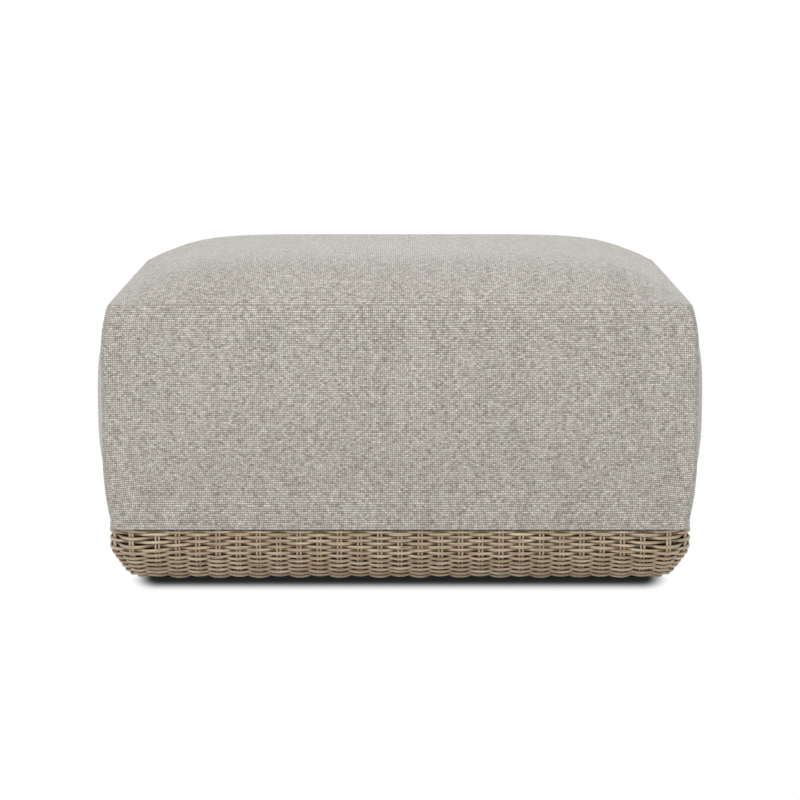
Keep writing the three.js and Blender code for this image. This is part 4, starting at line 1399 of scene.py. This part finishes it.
# The slider's plate is drawn in towards its tail, with two ears and a pin for the pull
slider_low, slider_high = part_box("zip_slider")
slider_half_length = (slider_high.x - slider_low.x) / 2
slider_half_height = (slider_high.z - slider_low.z) / 2
slider_face = slider_low.y + slider_thickness
pin_x = (slider_low.x + slider_high.x) / 2
pin_y = slider_face + pin_outset
slider_shares = np.array([(-1, -0.72), (-1, 0.72), (0.25, 1), (1, 0.84), (1, -0.84), (0.25, -1)])
slider_outline = slider_shares * (slider_half_length, slider_half_height) + (pin_x, zip_middle)
slider_outline = eased(slider_outline, 2 * mm, 4, closed=True)
slider_parts = [facing_back(plate_surface(slider_outline, slider_low.y, slider_face, 0.5 * mm, (0, 0, 0)))]
ear = oblong(-ear_length / 2, ear_length / 2, slider_face - 0.5 * mm, slider_high.y, 1.2 * mm) + (pin_x, 0)
for low in (zip_middle - ear_span / 2, zip_middle + ear_span / 2 - ear_thickness):
    slider_parts.append(plate_surface(ear, low, low + ear_thickness, 0.2 * mm, (0, 0, 0)))
pin_low, pin_high = zip_middle - ear_span / 2 + 0.2 * mm, zip_middle + ear_span / 2 - 0.2 * mm
pin_outline = [(0, pin_low), (pin_radius, pin_low), (pin_radius, pin_high), (0, pin_high)]
slider_parts.append(turned(pin_outline, 16, (pin_x, pin_y, 0)))
slider = mesh_of("slider", *joined(slider_parts))
add_piece(slider, zip_metal, "zip_slider", ["zip_slider"])


def pull_surface():
    """The pull's tongue with its window: one outline at its two faces and a smaller like one as the window,
    joined all the way round. A neck runs to the knuckle, which is turned round the pin."""
    pull_low, pull_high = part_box("zip_pull")
    half_height = (pull_high.z - pull_low.z) / 2
    length = pin_x - pull_low.x
    neck_shares = np.array([(-0.045, -0.5), (-0.045, 0.5), (-0.14, 0.5), (-0.26, 1), (-1, 1), (-1, -1)])
    neck_shares = np.concatenate([neck_shares, [(-0.26, -1), (-0.14, -0.5)]])
    outline = eased(neck_shares * (length, half_height) + (pin_x, zip_middle), 1.6 * mm, 4, closed=True)
    middle = np.array([pin_x - 0.62 * length, zip_middle])
    window = middle + (outline - (outline.min(axis=0) + outline.max(axis=0)) / 2) * 0.52
    edge = 0.2 * mm
    low, high = pin_y - pull_thickness / 2, pin_y + pull_thickness / 2
    rows = []
    for ring, depth in ((outline, low), (outline, high), (window, high), (window, low)):
        rows.append(np.column_stack([ring[:, 0], np.full(len(ring), depth), ring[:, 1]]))
    points = np.stack(rows)
    tongue = points.reshape(-1, 3), grid_quads(1, 4, len(outline), wrap_rows=True)
    reach = ear_span / 2 - ear_thickness - running_gap
    knuckle = [
        (knuckle_bore, zip_middle - reach),
        (knuckle_radius, zip_middle - reach),
        (knuckle_radius, zip_middle + reach),
        (knuckle_bore, zip_middle + reach),
        (knuckle_bore, zip_middle - reach),
    ]
    return joined([tongue, turned(eased(knuckle, edge), 24, (pin_x, pin_y, 0))])


add_piece(mesh_of("pull", *pull_surface()), zip_metal, "zip_pull", ["zip_pull"])


def stitches(height):
    """A row of stitches on the back of the cover at a height. Each is a short thread that rises out of the
    cloth and dips in again by half a sine, and thins to a point at both ends."""
    heights = np.unique(share_c[on_back])
    nearest = heights[np.abs(cushion_bottom + boxing_height * (heights + 1) / 2 - height).argmin()]
    row = on_back & (share_c == nearest)
    order = np.argsort(cover_points[row, 0])
    middles = np.arange(-zip_half_length + stitch_pitch, zip_half_length, stitch_pitch)
    share = np.linspace(0, 1, 5)
    arch = np.sin(math.pi * share)
    ring = np.arange(6) / 6 * 2 * math.pi
    x = middles[:, None] + (share - 0.5) * stitch_length
    depth = np.interp(x, cover_points[row, 0][order], cover_points[row, 1][order])
    depth = depth + (arch - 0.35) * thread_radius
    radius = thread_radius * np.sqrt(np.clip(arch, 0, 1))
    points = np.stack(
        [
            np.broadcast_to(x[..., None], (*x.shape, 6)),
            depth[..., None] + radius[:, None] * np.cos(ring),
            np.broadcast_to(height + radius[:, None] * np.sin(ring), (*x.shape, 6)),
        ],
        axis=-1,
    )
    return points.reshape(-1, 3), grid_quads(len(middles), 5, 6)


rows = joined([stitches(zip_middle - stitch_offset), stitches(zip_middle + stitch_offset)])
add_piece(mesh_of("topstitching", *rows), sewing_thread, "cushion")
